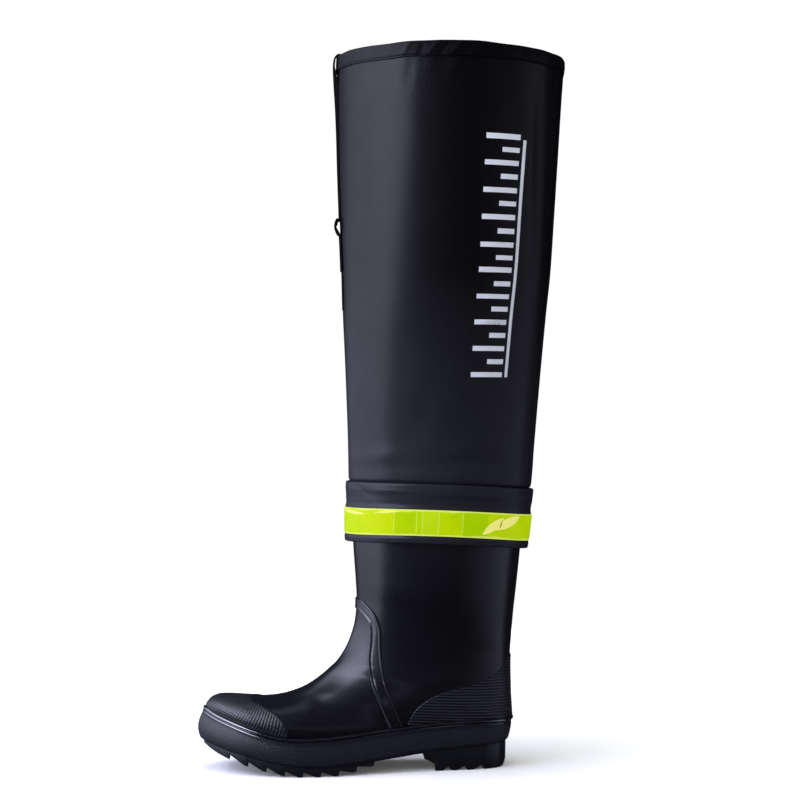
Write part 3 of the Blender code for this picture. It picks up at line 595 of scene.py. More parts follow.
def bumps(table, u, v, u_name, v_name):
    """Sum of soft oval forms at places given by two coordinates in millimetres."""
    total = np.zeros(np.broadcast(u, v).shape)
    for form in table:
        turn = math.radians(form.slope_deg)
        du = u - getattr(form, u_name)
        dv = v - getattr(form, v_name)
        long = (du * math.cos(turn) + dv * math.sin(turn)) / form.length
        wide = (dv * math.cos(turn) - du * math.sin(turn)) / form.width
        total = total + form.rise * np.exp(-long ** 2 - wide ** 2)
    return total


def skin(level, turn):
    """Outer face of the upper.

    Rows run from collar to toe, turns from -1 over the front to 1, and past that inside.
    """
    level, turn = np.broadcast_arrays(np.asarray(level, float), np.asarray(turn, float))
    leg = level < LEG_ROWS
    foot_index = ROW_INDEX[LEG_ROWS:]
    base = smooth(foot_index, column(UPPER_FOOT, "base"), level)
    share = base / UPPER_FOOT[-1].base
    station, left, right = along_plan(RIM_SIDES, share)
    back_x = smooth(ROW_INDEX[:LEG_ROWS + 1], column(UPPER_LEG, "back_x") + [HEEL_POINT[0]], level)
    back_z = smooth(ROW_INDEX[:LEG_ROWS + 1], column(UPPER_LEG, "back_z") + [HEEL_POINT[1]], level)
    end_x = np.where(leg, back_x, station)
    end_z = np.where(leg, back_z, sole_height("bead", station))
    front_x = smooth(ROW_INDEX, FRONT_X, level)
    front_z = smooth(ROW_INDEX, FRONT_Z, level)
    shift = smooth(foot_index, column(UPPER_FOOT, "shift"), level)
    ramp = fade_in(level, LEG_ROWS, SQUARE_BY)
    square = 1.0 + (FOOT_SQUARE - 1.0) * ramp * ramp * (3 - 2 * ramp)
    reach = np.where(leg, 0.0, np.abs(np.where(turn < 0, right, left) - shift))
    wide = smooth(ROW_INDEX, WIDTHS, level)
    spare = wide - reach * REACH_SPARE
    width = wide + (np.sqrt(spare ** 2 + WIDTH_BLEND ** 2) - spare) / 2
    end = math.pi - np.arcsin(np.minimum(1.0, (reach / width) ** (1 / square)))
    angle = end * np.minimum(np.abs(turn), 1.0)
    drop = (1 - np.cos(angle)) / (1 - np.cos(end))
    bow = smooth(column(SECTION_BOW, "row"), column(SECTION_BOW, "power"), level)
    x = front_x + (end_x - front_x) * drop
    z = front_z + (end_z - front_z) * drop ** bow
    side = np.where(turn < 0, -1.0, 1.0)
    lift = bumps(UPPER_FORMS, x, z, "station", "height") * np.sin(angle) ** 2
    y = shift + side * (width * np.abs(np.sin(angle)) ** square + lift)
    tip = level > LAST_ROW - 0.001
    x = np.where(tip, end_x, x)
    y = np.where(tip, left, y)
    z = np.where(tip, end_z, z)
    deep = np.clip(np.abs(turn) - 1.0, 0, 1)
    floor_x, floor_left, floor_right = along_plan(FLOOR_SIDES, share)
    x = x + (floor_x - x) * deep
    y = y + (np.where(turn < 0, floor_right, floor_left) - y) * deep
    z = z + (sole_height("floor", floor_x) + GAP - z) * deep
    return x, y, z


def foot_levels(count):
    """Levels from heel to toe, close together at both ends."""
    fine = np.linspace(LEG_ROWS, LAST_ROW, 800)
    base = smooth(ROW_INDEX[LEG_ROWS:], column(UPPER_FOOT, "base"), fine)
    return np.interp(base[-1] * eased(count), base, fine)


def grid_faces(rows, columns, wrap):
    across = columns if wrap else columns - 1
    row = np.arange(rows - 1)[:, None] * columns
    here = np.arange(across)[None, :]
    there = (here + 1) % columns
    quads = np.stack([row + here, row + columns + here, row + columns + there, row + there], axis=-1)
    return quads.reshape(-1, 4).tolist()


def point_value(mesh, name, values):
    layer = mesh.attributes.new(name, "FLOAT", "POINT")
    layer.data.foreach_set("value", np.asarray(values, np.float32).ravel())


def stand(name, data):
    item = bpy.data.objects.new(name, data)
    bpy.context.scene.collection.objects.link(item)
    return item


def piece(
    name, points, faces, finish, node, uv=None, sharp_deg=40.0, second=None, seconds=(), tip_highlight=None
):
    """Object that stands for a node, with smooth faces, sharp past an angle.

    Some faces may have a second finish, and points may carry a share of painted highlight.
    """
    mesh = bpy.data.meshes.new(name)
    mesh.from_pydata(np.asarray(points).reshape(-1, 3).tolist(), [], faces)
    if uv is not None:
        layer = mesh.uv_layers.new(name="Pattern")
        corner = np.empty(len(mesh.loops), np.int32)
        mesh.loops.foreach_get("vertex_index", corner)
        layer.data.foreach_set("uv", np.asarray(uv, np.float32)[corner].ravel())
    if tip_highlight is not None:
        tip_highlight_shares = np.zeros(len(mesh.vertices), np.float32)
        tip_highlight_shares[:len(tip_highlight)] = tip_highlight
        point_value(mesh, "tip_highlight", tip_highlight_shares)
    mesh.materials.append(finish)
    if second:
        mesh.materials.append(second)
        marked = np.isin(np.arange(len(faces)), seconds)
        mesh.polygons.foreach_set("material_index", marked.astype(np.int32))
    work = bmesh.new()
    work.from_mesh(mesh)
    bmesh.ops.remove_doubles(work, verts=work.verts[:], dist=WELD_DISTANCE)
    bmesh.ops.recalc_face_normals(work, faces=work.faces[:])
    work.to_mesh(mesh)
    work.free()
    mesh.shade_smooth()
    mesh.set_sharp_from_angle(angle=math.radians(sharp_deg))
    item = stand(name, mesh)
    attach(item, "root")
    if node:
        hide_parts(node)
    return item


def wall(item, thickness):
    """Gives an open skin a wall on its inner side."""
    solidify = item.modifiers.new("wall", "SOLIDIFY")
    solidify.thickness = thickness * MM
    solidify.offset = -1.0
    solidify.use_even_offset = True
    return item


def skin_grid(leg_steps, foot_steps, turn_steps, deep_steps):
    """Points and faces of the upper's whole outer face."""
    turns = np.linspace(-1, 1, turn_steps + 1)
    leg = np.linspace(0, LEG_ROWS, leg_steps + 1)
    points = [place(*skin(leg[:, None] - 1e-9, turns[None, :])).reshape(-1, 3)]
    faces = grid_faces(len(leg), len(turns), False)
    inside = 1 + np.arange(1, deep_steps + 1) / deep_steps
    turns = np.concatenate([-inside[::-1], turns, inside])
    foot = foot_levels(foot_steps)
    start = len(points[0])
    points.append(place(*skin(foot[:, None], turns[None, :])).reshape(-1, 3))
    faces += moved(grid_faces(len(foot), len(turns), False), start)
    return np.vstack(points), faces


def side_distance(curve, x, z):
    """Distance from a curve in the side view, positive on the right of its way."""
    start = curve[:-1]
    step = curve[1:] - start
    best = np.full(x.shape, 1e9)
    signed = np.zeros(x.shape)
    for (a, b), (dx, dz) in zip(start, step):
        t = np.clip(((x - a) * dx + (z - b) * dz) / (dx * dx + dz * dz), 0, 1)
        off_x = x - a - t * dx
        off_z = z - b - t * dz
        away = np.hypot(off_x, off_z)
        side = np.sign((x - a) * dz - (z - b) * dx)
        nearer = away < best - 1e-9
        best = np.where(nearer, away, best)
        signed = np.where(nearer, side * away, signed)
    return signed


def over_bead(x, z):
    return z - sole_height("bead", x) - 2 * GAP


def editable(points, faces):
    work = bmesh.new()
    verts = [work.verts.new(point) for point in points]
    for face in faces:
        work.faces.new([verts[i] for i in face])
    work.verts.index_update()
    work.normal_update()
    return work


def plain_parts(work):
    """Points and faces of an editable mesh, which ends here."""
    work.verts.index_update()
    points = np.array([vert.co for vert in work.verts])
    faces = [[vert.index for vert in face.verts] for face in work.faces]
    work.free()
    return points, faces


def cut_sheet(u, v, spot, field, contours):
    """Grid of two coordinates, cut where a field falls under zero, with edges along its contours.

    Returns the kept coordinates and the faces.
    """
    grid_u, grid_v = np.meshgrid(u, v, indexing="ij")
    corners = np.stack([grid_u, grid_v, field(*spot(grid_u, grid_v))], axis=-1).reshape(-1, 3)
    work = editable(corners, grid_faces(len(u), len(v), False))
    for level in [0.0] + contours:
        bmesh.ops.bisect_plane(
            work,
            geom=work.verts[:] + work.edges[:] + work.faces[:],
            dist=WELD_DISTANCE,
            plane_co=(0, 0, level),
            plane_no=(0, 0, 1),
            clear_inner=level == 0.0,
        )
    kept, faces = plain_parts(work)
    return kept[:, 0], kept[:, 1], faces


def raise_sheet(points, faces, outs):
    """Closed layer: the sheet moved out along its normals, with a back face behind it."""
    work = editable(points, faces)
    normals = np.array([vert.normal for vert in work.verts])
    rims = []
    for edge in work.edges:
        if len(edge.link_faces) == 1:
            loop = edge.link_loops[0]
            rims.append((loop.vert.index, loop.link_loop_next.vert.index))
    work.free()
    count = len(points)
    front = points + normals * np.asarray(outs)[:, None] * MM
    behind = points + normals * LAYER_BACK * MM
    shell = [list(face) for face in faces]
    shell += [face[::-1] for face in moved(faces, count)]
    shell += [[end, start, count + start, count + end] for start, end in rims]
    return np.vstack([front, behind]), shell


def shoulder(distance, radius):
    """Height share of a rounded edge at a distance from it."""
    t = np.clip(distance / radius, 0, 1)
    return np.sqrt(np.maximum(0.0, 1 - (1 - t) ** 2))


def edge_curve(points):
    return spline([(p.station, p.height) for p in points], 6, False)


def make_upper(finish):
    points, faces = skin_grid(*UPPER_GRID)
    wall(piece("upper_shell", points, faces, finish, "upper", sharp_deg=60.0), UPPER_WALL)


def section_lengths(levels):
    """Half the length of each section, and the distance along the foot to it between top line and bead."""
    x, y, z = skin(levels[:, None], np.linspace(0, 1, 60)[None, :])
    points = np.stack([x, y, z], axis=-1)
    half = np.linalg.norm(np.diff(points, axis=1), axis=2).sum(axis=1)
    top = np.linalg.norm(np.diff(points[:, 0], axis=0), axis=1)
    base = np.linalg.norm(np.diff(points[:, -1], axis=0), axis=1)
    return half, np.concatenate([[0.0], np.cumsum((top + base) / 2)])


def knurl(u, v, pitch):
    """Height share of small four-sided points whose edges run diagonally."""
    plus = 1 - np.abs(2 * ((u + v) / pitch % 1.0) - 1)
    minus = 1 - np.abs(2 * ((u - v) / pitch % 1.0) - 1)
    return np.minimum(plus, minus)


def make_toe_cap(finish):
    edge = edge_curve(TOE_CAP_EDGE)

    def field(x, y, z):
        return np.minimum(-side_distance(edge, x, z), over_bead(x, z))

    fine = np.linspace(CAP_FIRST_ROW, LAST_ROW - TIP_SPARE, FINE_STEPS)
    half, run = section_lengths(fine)
    levels = np.interp(np.arange(0, run[-1], CAP_STEP), run, fine)
    turns = np.linspace(-1, 1, int(2 * half.max() / CAP_STEP))
    u, v, faces = cut_sheet(levels, turns, skin, field, LAYER_CONTOURS)
    x, y, z = skin(u, v)
    free = -side_distance(edge, x, z)
    points_up = knurl(np.interp(u, fine, run), v * np.interp(u, fine, half), CAP_PITCH)
    inside = fade_in(np.minimum(free - CAP_KNURL_START, over_bead(x, z)), 0.0, CAP_KNURL_FADE)
    low = GAP * EDGE_LIFT
    outs = low + (GAP + LAYER - low) * shoulder(free, LAYER_ROUND) + CAP_KNURL * (points_up - 0.5) * inside
    points, shell = raise_sheet(place(x, y, z), faces, outs)
    # Raised points of the cap's knurl get a share of painted highlight
    tip_highlight = points_up * inside
    piece("toe_cap_knurled", points, shell, finish, "toe_cap", sharp_deg=80.0, tip_highlight=tip_highlight)


def swell(distance, lip):
    return lip.rise * np.exp(-((distance - lip.away) / lip.width) ** 2)


def make_band(finish):
    """Strip whose edges rise to soft lips at its sides."""
    rear = edge_curve(BAND_REAR_EDGE)
    front = edge_curve(BAND_FRONT_EDGE)

    def field(x, y, z):
        between = np.minimum(-side_distance(rear, x, z), -side_distance(front, x, z))
        return np.minimum(between, over_bead(x, z))

    levels = np.linspace(*BAND_LEVELS)
    turns = np.linspace(-1, 1, BAND_TURNS)
    u, v, faces = cut_sheet(levels, turns, skin, field, BAND_CONTOURS)
    x, y, z = skin(u, v)
    behind = -side_distance(rear, x, z)
    ahead = -side_distance(front, x, z)
    lips = sum(swell(behind, lip) for lip in BAND_REAR_LIPS)
    lips = lips + sum(swell(ahead, lip) for lip in BAND_FRONT_LIPS)
    top = GAP + LAYER + lips * fade_in(np.abs(v), LIP_START, LIP_FADE)
    low = GAP * BAND_EDGE_LIFT
    outs = low + (top - low) * shoulder(np.minimum(behind, ahead), BAND_ROUND)
    points, shell = raise_sheet(place(x, y, z), faces, outs)
    piece("instep_band_layer", points, shell, finish, "instep_band", sharp_deg=80.0)


def make_counter(finish):
    """Counter with near-level ribs, laid out round an upright axis so that rows follow the ribs."""
    points, faces = skin_grid(*COUNTER_GRID)
    tree = BVHTree.FromPolygons(points.tolist(), faces)
    edge = edge_curve(COUNTER_EDGE)

    def spot(angle, rib):
        flat_angle = np.ravel(angle)
        flat_rib = np.ravel(rib)
        found = np.zeros((flat_angle.size, 3))
        for i in range(flat_angle.size):
            a = math.radians(flat_angle[i])
            start = Vector(((RIB_CENTRE - ORIGIN_STATION) * MM, 0.0, flat_rib[i] * MM))
            way = Vector((math.cos(a), math.sin(a), RIB_SLOPE * math.cos(a)))
            hit = tree.ray_cast(start, way)[0]
            found[i] = hit if hit else start
        found = found / MM + (ORIGIN_STATION, 0, 0)
        return tuple(found[:, k].reshape(np.shape(angle)) for k in range(3))

    def field(x, y, z):
        return np.minimum(side_distance(edge, x, z), over_bead(x, z))

    angles = np.linspace(*COUNTER_ANGLES)
    ribs = np.arange(*COUNTER_HEIGHTS, RIB_PITCH / RIB_SAMPLES)
    u, v, faces = cut_sheet(angles, ribs, spot, field, LAYER_CONTOURS)
    x, y, z = spot(u, v)
    free = side_distance(edge, x, z)
    rib = (0.5 + 0.5 * np.cos(2 * math.pi * v / RIB_PITCH)) ** RIB_POWER
    outs = GAP * EDGE_LIFT + (COUNTER_VALLEY + RIB_HEIGHT * rib) * shoulder(free, LAYER_ROUND)
    points, shell = raise_sheet(place(x, y, z), faces, outs)
    # The ribs' crests get a share of painted highlight
    piece("heel_counter_ribbed", points, shell, finish, "heel_counter", sharp_deg=70.0, tip_highlight=rib)


def sole_loop(inset, heights, share):
    """One loop of the sole, up the outer side and down the inner, with the distance run from the heel."""
    station, left, right = along_plan(plan_sides(inset), share)
    height = heights(station) if callable(heights) else heights
    outer = np.stack([station, left, height], axis=-1)
    inner = np.stack([station, right, height], axis=-1)[1:-1][::-1]
    run = run_along(outer[:, :2])
    return np.vstack([outer, inner]), np.concatenate([run, run[1:-1][::-1]])


def ladder(loop):
    """Faces across a loop that runs up one side and down the other."""
    half = len(loop) // 2
    faces = [[loop[0], loop[-1], loop[1]], [loop[half], loop[half - 1], loop[half + 1]]]
    for k in range(1, half - 1):
        faces.append([loop[k], loop[-k], loop[-k - 1], loop[k + 1]])
    return faces


def stack_faces(rows, size):
    """Faces of a stack of such loops, closed at its bottom and top."""
    faces = grid_faces(rows, size, True)
    faces += ladder(list(range((rows - 1) * size, rows * size)))
    return faces + [face[::-1] for face in ladder(list(range(size)))]


def side_loops(share):
    """Loops of the sole from its underside round the foxing and bead to the floor inside."""
    rim = sole_height("bead", along_plan(RIM_SIDES, share)[0])

    def under(station):
        return sole_height("under", station)

    def under_inset(more):
        return lambda s: sole_inset("under", s) + more

    def foxing_inset(t):
        """Side of the foxing at a share of its height."""
        def inset(s):
            low = sole_inset("under", s) * (t - BULGE_AT) * (t - 1) / BULGE_AT
            middle = sole_inset("middle", s) * t * (t - 1) / (BULGE_AT * (BULGE_AT - 1))
            return low + middle + sole_inset("shoulder", s) * t * (t - BULGE_AT) / (1 - BULGE_AT)
        return inset

    def round_inset(t):
        def inset(s):
            low = sole_inset("shoulder", s)
            inward = 1 - math.cos(t * math.pi / 2) ** SHOULDER_SQUARE
            return low + (sole_inset("rim", s) + GROOVE_INSET - low) * inward
        return inset

    plans = []
    for spot in UNDER_ROUND:
        plans.append((under_inset(spot.inset), lambda s, rise=spot.rise: under(s) + rise, 0))
    station = along_plan(RIM_SIDES, share)[0]
    low = under(station)
    for t in np.linspace(FOXING_START, 1.0, FOXING_STEPS):
        plans.append((foxing_inset(t), low + (rim - SHOULDER_DROP - low) * t, t))
    for t in SHOULDER_SHARES:
        rise = (SHOULDER_DROP - GROOVE_DROP) * math.sin(t * math.pi / 2) ** SHOULDER_SQUARE
        plans.append((round_inset(t), rim - SHOULDER_DROP + rise, 1 + t))
    for spot in BEAD_ROUND:
        plans.append((lambda s, more=spot.inset: sole_inset("rim", s) + more, rim + spot.rise, 3))
    plans.append((lambda s: rim_inset(s) - SEAT_CLEAR, rim, 3))
    plans.append((lambda s: floor_inset(s) - SEAT_CLEAR, lambda s: sole_height("floor", s), 3))
    return plans


def slab_points(low_rows, high_rows):
    """Closed solid between two grids of one size."""
    low = np.array(low_rows)
    rows, columns = low.shape[:2]
    points = np.vstack([low.reshape(-1, 3), np.array(high_rows).reshape(-1, 3)])
    high = rows * columns
    faces = []
    for r in range(rows - 1):
        for c in range(columns - 1):
            a = r * columns + c
            b = a + columns
            faces.append([a, b, b + 1, a + 1])
            faces.append([high + a, high + a + 1, high + b + 1, high + b])
    rim = list(range(columns))
    rim += [r * columns + columns - 1 for r in range(1, rows)]
    rim += [(rows - 1) * columns + c for c in range(columns - 2, -1, -1)]
    rim += [r * columns for r in range(rows - 2, 0, -1)]
    for i, start in enumerate(rim):
        end = rim[(i + 1) % len(rim)]
        faces.append([start, end, high + end, high + start])
    return points, faces


def softened(points, faces):
    """The same solid with its sharp edges rounded."""
    work = editable(points * MM, faces)
    sharp = [edge for edge in work.edges if edge.calc_face_angle(0.0) > math.radians(TREAD_SHARP_DEG)]
    bmesh.ops.bevel(
        work,
        geom=sharp,
        offset=TREAD_ROUND * MM,
        segments=2,
        profile=0.5,
        affect="EDGES",
        clamp_overlap=True,
    )
    made, shell = plain_parts(work)
    return made / MM, shell


def tread_sides(station):
    outer, inner = plan_sides(lambda s: sole_inset("under", s) + TREAD_INSET)
    return float(side_at(outer, station)), float(side_at(inner, station))


def tread_solid():
    """Bars across the forefoot, each sloping down to a land at its back."""
    spots = [EdgePoint(LUG_REAR - LUG_STEP, float(sole_height("under", LUG_REAR)) + LUG_START_RISE)]
    for i in range(LUG_COUNT):
        back = LUG_REAR + i * LUG_PITCH
        spots.append(EdgePoint(back, float(sole_height("lugs", back))))
        spots.append(EdgePoint(back + LUG_LAND, float(sole_height("lugs", back + LUG_LAND))))
        if i < LUG_COUNT - 1:
            top = back + LUG_PITCH - LUG_STEP
            spots.append(EdgePoint(top, float(sole_height("lugs", top)) + LUG_DEPTH))
    for station in TREAD_TOE:
        spots.append(EdgePoint(station, float(sole_height("lugs", station))))
    low_rows = []
    high_rows = []
    for spot in spots:
        left, right = tread_sides(spot.station)
        top = float(sole_height("under", spot.station)) + TREAD_OVERLAP
        low_rows.append([(spot.station, right, spot.height), (spot.station, left, spot.height)])
        high_rows.append([(spot.station, right, top), (spot.station, left, top)])
    return softened(*slab_points(low_rows, high_rows))


def heel_solid():
    """Heel block with a hollow breast and three notches underneath."""
    low_rows = []
    high_rows = []
    for spot in HEEL_UNDER:
        left, right = tread_sides(spot.station)
        breast = spot.station == HEEL_BREAST
        low = []
        high = []
        for share in np.linspace(0, 1, HEEL_COLUMNS):
            low_at = spot.station
            high_at = spot.station
            if breast:
                hollow = BREAST_HOLLOW * (1 - (2 * share - 1) ** 2)
                low_at += BREAST_SKEW * (1 - share) - hollow
                high_at += BREAST_LEAN + BREAST_SKEW_TOP * (1 - share) - hollow
            side = right + (left - right) * share
            taper = HEEL_TAPER * (1 - 2 * share)
            low.append((low_at, side + taper, spot.height))
            high.append((high_at, side, float(sole_height("under", high_at)) + TREAD_OVERLAP))
        low_rows.append(low)
        high_rows.append(high)
    return softened(*slab_points(low_rows, high_rows))


def make_outsole(finish, gloss):
    share = eased(SOLE_STEPS)
    loops = []
    bands = []
    tip_highlight = []
    for inset, heights, band in side_loops(share):
        bands.append(band)
        loop, run = sole_loop(inset, heights, share)
        fade = np.clip(min(band / KNURL_START - 1, (SMOOTH_STRIP - band) / KNURL_FADE), 0, 1)
        tip_highlight.append(np.zeros(len(loop)))
        if fade > 0:
            way = np.roll(loop, -1, axis=0) - np.roll(loop, 1, axis=0)
            outward = np.stack([-way[:, 1], way[:, 0]], axis=-1) / np.hypot(way[:, 0], way[:, 1])[:, None]
            points_up = knurl(run, loop[:, 2], FOXING_PITCH)
            loop[:, :2] += outward * (FOXING_KNURL * fade * (points_up - 0.5))[:, None]
            # Raised points of the foxing's knurl get a share of painted highlight
            tip_highlight[-1] = points_up * fade
        loops.append(loop)
    size = len(loops[0])
    faces = stack_faces(len(loops), size)
    first = bands.index(next(band for band in bands if band > GLOSSY_FROM))
    glossy = np.arange(first * size, (len(loops) - 1) * size)
    points = np.vstack(loops)
    for block, shell in (tread_solid(), heel_solid()):
        faces += moved(shell, len(points))
        points = np.vstack([points, block])
    piece("outsole_moulded", place(*points.T), faces, finish, "outsole", sharp_deg=50.0,
          second=gloss, seconds=glossy, tip_highlight=np.concatenate(tip_highlight))


def make_insole(finish):
    share = eased(INSOLE_STEPS)
    rings = []
    for more, rise in INSOLE_EDGE:
        rings.append(sole_loop(
            lambda s, more=more: floor_inset(s) + UPPER_WALL + INSOLE_PLAY + more,
            lambda s, rise=rise: sole_height("floor", s) + GAP + rise,
            share,
        )[0])
    faces = stack_faces(len(rings), len(rings[0]))
    piece("insole_sock", place(*np.vstack(rings).T), faces, finish, "insole")


SHAFT_INDEX = list(range(len(SHAFT_ROWS)))
RIM_TOP = SHAFT_ROWS[-1].front_z
RING_ANGLES = circle(RING_STEPS)


def ring_spot(row, angle, out, rise):
    """Points on closed rows, moved outward and up."""
    share = (1 - np.cos(angle)) / 2
    x = row.front_x + (row.back_x - row.front_x) * share
    y = row.half_width * np.sin(angle)
    z = row.front_z + (row.back_z - row.front_z) * share + row.crown * np.sin(angle) ** 2 + rise
    forward = np.cos(angle) / (row.front_x - row.back_x) * 2
    sideways = np.sin(angle) / row.half_width
    length = np.hypot(forward, sideways)
    return x + out * forward / length, y + out * sideways / length, z


def shaft_row(height):
    level = np.interp(height, column(SHAFT_ROWS, "front_z"), SHAFT_INDEX)
    return ShaftRow(*[smooth(SHAFT_INDEX, column(SHAFT_ROWS, name), level) for name in ShaftRow._fields])


def round_bumps(table, angle, height, radius):
    """Forms of a ring, whose angles may pass the front."""
    total = 0.0
    for turn in (-2 * math.pi, 0.0, 2 * math.pi):
        shifted = [form._replace(angle_deg=math.radians(form.angle_deg) * radius) for form in table]
        total = total + bumps(shifted, (angle + turn) * radius, height, "angle_deg", "height")
    return total


def rim_wave(angle):
    """Unevenness of the rim's height."""
    return RIM_WAVE * sum(wave.share * np.sin(wave.count * angle + wave.phase) for wave in RIM_WAVES)


def shaft_spot(height, angle, out):
    """Point of the shaft's creased outer face; heights are those of its front."""
    height, angle = np.broadcast_arrays(np.asarray(height, float), np.asarray(angle, float))
    row = shaft_row(np.minimum(height, RIM_TOP))
    fade = fade_in(height, CREASE_LOW, CREASE_FADE) * fade_in(height, RIM_TOP - CREASE_STOP, -CREASE_END)
    crease = round_bumps(SHAFT_CREASES, angle, height, SHAFT_RADIUS) * fade
    wave = rim_wave(angle) * np.clip((height - RIM_TOP) / WAVE_REACH + 1.0, 0, 1)
    level = ring_spot(row, angle, 0.0, 0.0)[2]
    fold = ring_spot(cuff_row(CUFF_HEIGHT), angle, 0.0, 0.0)[2]
    crease = crease - swell(level - fold, TUCK)
    return ring_spot(row, angle, out + crease, wave + np.maximum(0.0, height - RIM_TOP))


def make_shaft(finish):
    ends = (SHAFT_ROWS[0].front_z, TUCK_LOW, TUCK_HIGH, RIM_TOP)
    low, tuck, high = [np.linspace(*part) for part in zip(ends, ends[1:], SHAFT_STEPS)]
    heights = np.concatenate([low[:-1], tuck[:-1], high])
    points = place(*shaft_spot(heights[:, None], RING_ANGLES[None, :], 0.0))
    faces = grid_faces(len(heights), len(RING_ANGLES), True)
    wall(piece("shaft_fabric", points, faces, finish, "shaft", sharp_deg=60.0), SHAFT_WALL)


def rounded(profile, longest):
    """Closed cross-section with its corners cut twice."""
    points = np.array(profile, float)
    fine = []
    for a, b in zip(points, np.roll(points, -1, axis=0)):
        count = max(1, math.ceil(np.linalg.norm(b - a) / longest))
        fine += [a + (b - a) * k / count for k in range(count)]
    fine = np.array(fine)
    for _ in range(2):
        after = np.roll(fine, -1, axis=0)
        fine = np.stack([0.75 * fine + 0.25 * after, 0.25 * fine + 0.75 * after], axis=1).reshape(-1, 2)
    return fine


def cuff_row(height):
    share = height / CUFF_HEIGHT
    low, high = CUFF_ROWS
    return ShaftRow(*[a + (b - a) * share for a, b in zip(low, high)])


def closed_ring(profile, angles, spot):
    """Points and faces of a ring with a closed cross-section."""
    out = profile[:, 0][:, None]
    height = profile[:, 1][:, None]
    points = place(*spot(out, height, angles[None, :]))
    rows, columns = points.shape[:2]
    faces = grid_faces(rows + 1, columns, True)
    faces = [[i % (rows * columns) for i in face] for face in faces]
    return points, faces


def cuff_crease(out, height, angle):
    outer = fade_in(out, CUFF_CREASE_OUT, CUFF_CREASE_FADE) * fade_in(height, TAPE_HIGH, CUFF_CREASE_RISE)
    return round_bumps(CUFF_CREASES, angle, height, CUFF_RADIUS) * outer


def make_cuff(finish):
    def spot(out, height, angle):
        return ring_spot(cuff_row(height), angle, out + cuff_crease(out, height, angle), 0.0)

    points, faces = closed_ring(rounded(CUFF_PROFILE, CUFF_STEP), RING_ANGLES, spot)
    piece("cuff_folded", points, faces, finish, "cuff", sharp_deg=60.0)


def make_tape(finish):
    """Tape with a flat sealed border along both edges and a film that swells a little between them."""
    angles = np.linspace(0, 2 * math.pi, RING_STEPS + 1)
    across = np.linspace(0, 1, TAPE_STEPS)
    span = TAPE_HIGH - TAPE_LOW
    away = np.minimum(across, 1 - across) * span
    loose = fade_in(away, TAPE_BORDER, TAPE_SWELL)
    rim, border, film = TAPE_SHARES
    out = TAPE_SEAT + TAPE_THICK * (rim + border * np.sqrt(fade_in(away, 0.0, TAPE_RIM)) + film * loose)
    height = TAPE_LOW + span * across
    ripple = TAPE_RIPPLE * np.sin(TAPE_RIPPLES * angles + TAPE_PHASE)[None, :] * loose[:, None]
    front = place(*ring_spot(cuff_row(height[:, None]), angles[None, :], out[:, None] + ripple, 0.0))
    back = place(*ring_spot(cuff_row(height[::-1][:, None]), angles[None, :], TAPE_SEAT - TAPE_BACK, 0.0))
    rows, columns = front.shape[:2]
    faces = grid_faces(2 * rows, columns, False)
    last = (2 * rows - 1) * columns
    faces += [[last + c, c, c + 1, last + c + 1] for c in range(columns - 1)]
    run = np.broadcast_to(angles[None, :], (rows, columns))
    up = np.broadcast_to((height - TAPE_LOW)[:, None], (rows, columns))
    uv = np.stack([np.degrees(run), up], axis=-1).reshape(-1, 2)
    uv = np.vstack([uv, uv])
    points = np.vstack([front.reshape(-1, 3), back.reshape(-1, 3)])
    piece("tape_film", points, faces, finish, "reflective_tape", uv=uv, sharp_deg=50.0)


def hem_spot(out, height, angle):
    row = shaft_row(RIM_TOP + np.minimum(height, 0.0))
    pucker = round_bumps(HEM_CREASES, angle, height, HEM_RADIUS)
    outer = np.clip(out, 0, 1)
    return ring_spot(row, angle, out + pucker * outer, rim_wave(angle) + np.maximum(0.0, height))


def make_hem(finish, thread):
    points, faces = closed_ring(rounded(HEM_PROFILE, HEM_STEP), circle(2 * RING_STEPS), hem_spot)
    piece("hem_folded", points, faces, finish, "top_hem", sharp_deg=60.0)
    count = int(2 * math.pi * STITCH_RING / STITCH_PITCH)
    centres = 2 * math.pi * np.arange(count) / count
    half = STITCH_LENGTH / 2 / STITCH_RING
    along = np.linspace(-1, 1, 6)
    around = circle(6)
    thick = STITCH_RADIUS * np.sqrt(np.maximum(0.0, 1 - (STITCH_BLUNT * along) ** 2))
    angle = centres[:, None, None] + half * along[None, :, None] + 0 * around[None, None, :]
    height = STITCH_DROP + thick[None, :, None] * np.sin(around)[None, None, :] + 0 * angle
    out = STITCH_OUT + thick[None, :, None] * np.cos(around)[None, None, :] + 0 * angle
    points = place(*hem_spot(out, height, angle))
    one = tube_faces(points[0])
    faces = []
    for i in range(count):
        faces += moved(one, i * thick.size * around.size)
    piece("hem_stitches", points, faces, thread, None)


def tube_faces(loops):
    """Faces of a row of loops, closed at both ends."""
    rows, columns = loops.shape[:2]
    ends = [list(range(columns))[::-1], [(rows - 1) * columns + k for k in range(columns)]]
    return grid_faces(rows, columns, True) + ends


def make_seam(finish):
    """Lapped strip down the back of the outer side, thin at its edges."""
    rows, columns = SEAM_STEPS
    heights = np.linspace(SEAM_LOW, SEAM_HIGH, rows)
    share = (heights - SEAM_LOW) / (SEAM_HIGH - SEAM_LOW)
    start = np.radians(SEAM_ANGLE + SEAM_TURN * share)
    across = np.linspace(0, 1, columns)
    angle = start[:, None] + np.radians(SEAM_WIDTH_DEG) * across[None, :]
    edge = np.minimum(across, 1 - across) * SEAM_WIDTH
    out = SEAM_LIFT + (SEAM_OUT + SEAM_THICK) * shoulder(edge, SEAM_ROUND) - swell(edge, SEAM_HOLLOW)
    spots = place(*shaft_spot(heights[:, None], angle, out[None, :]))
    under = place(*shaft_spot(heights[:, None], angle[:, ::-1], SEAM_BACK))
    loop = np.concatenate([spots, under], axis=1)
    piece("back_seam_lap", loop, tube_faces(loop), finish, "back_seam", sharp_deg=50.0)


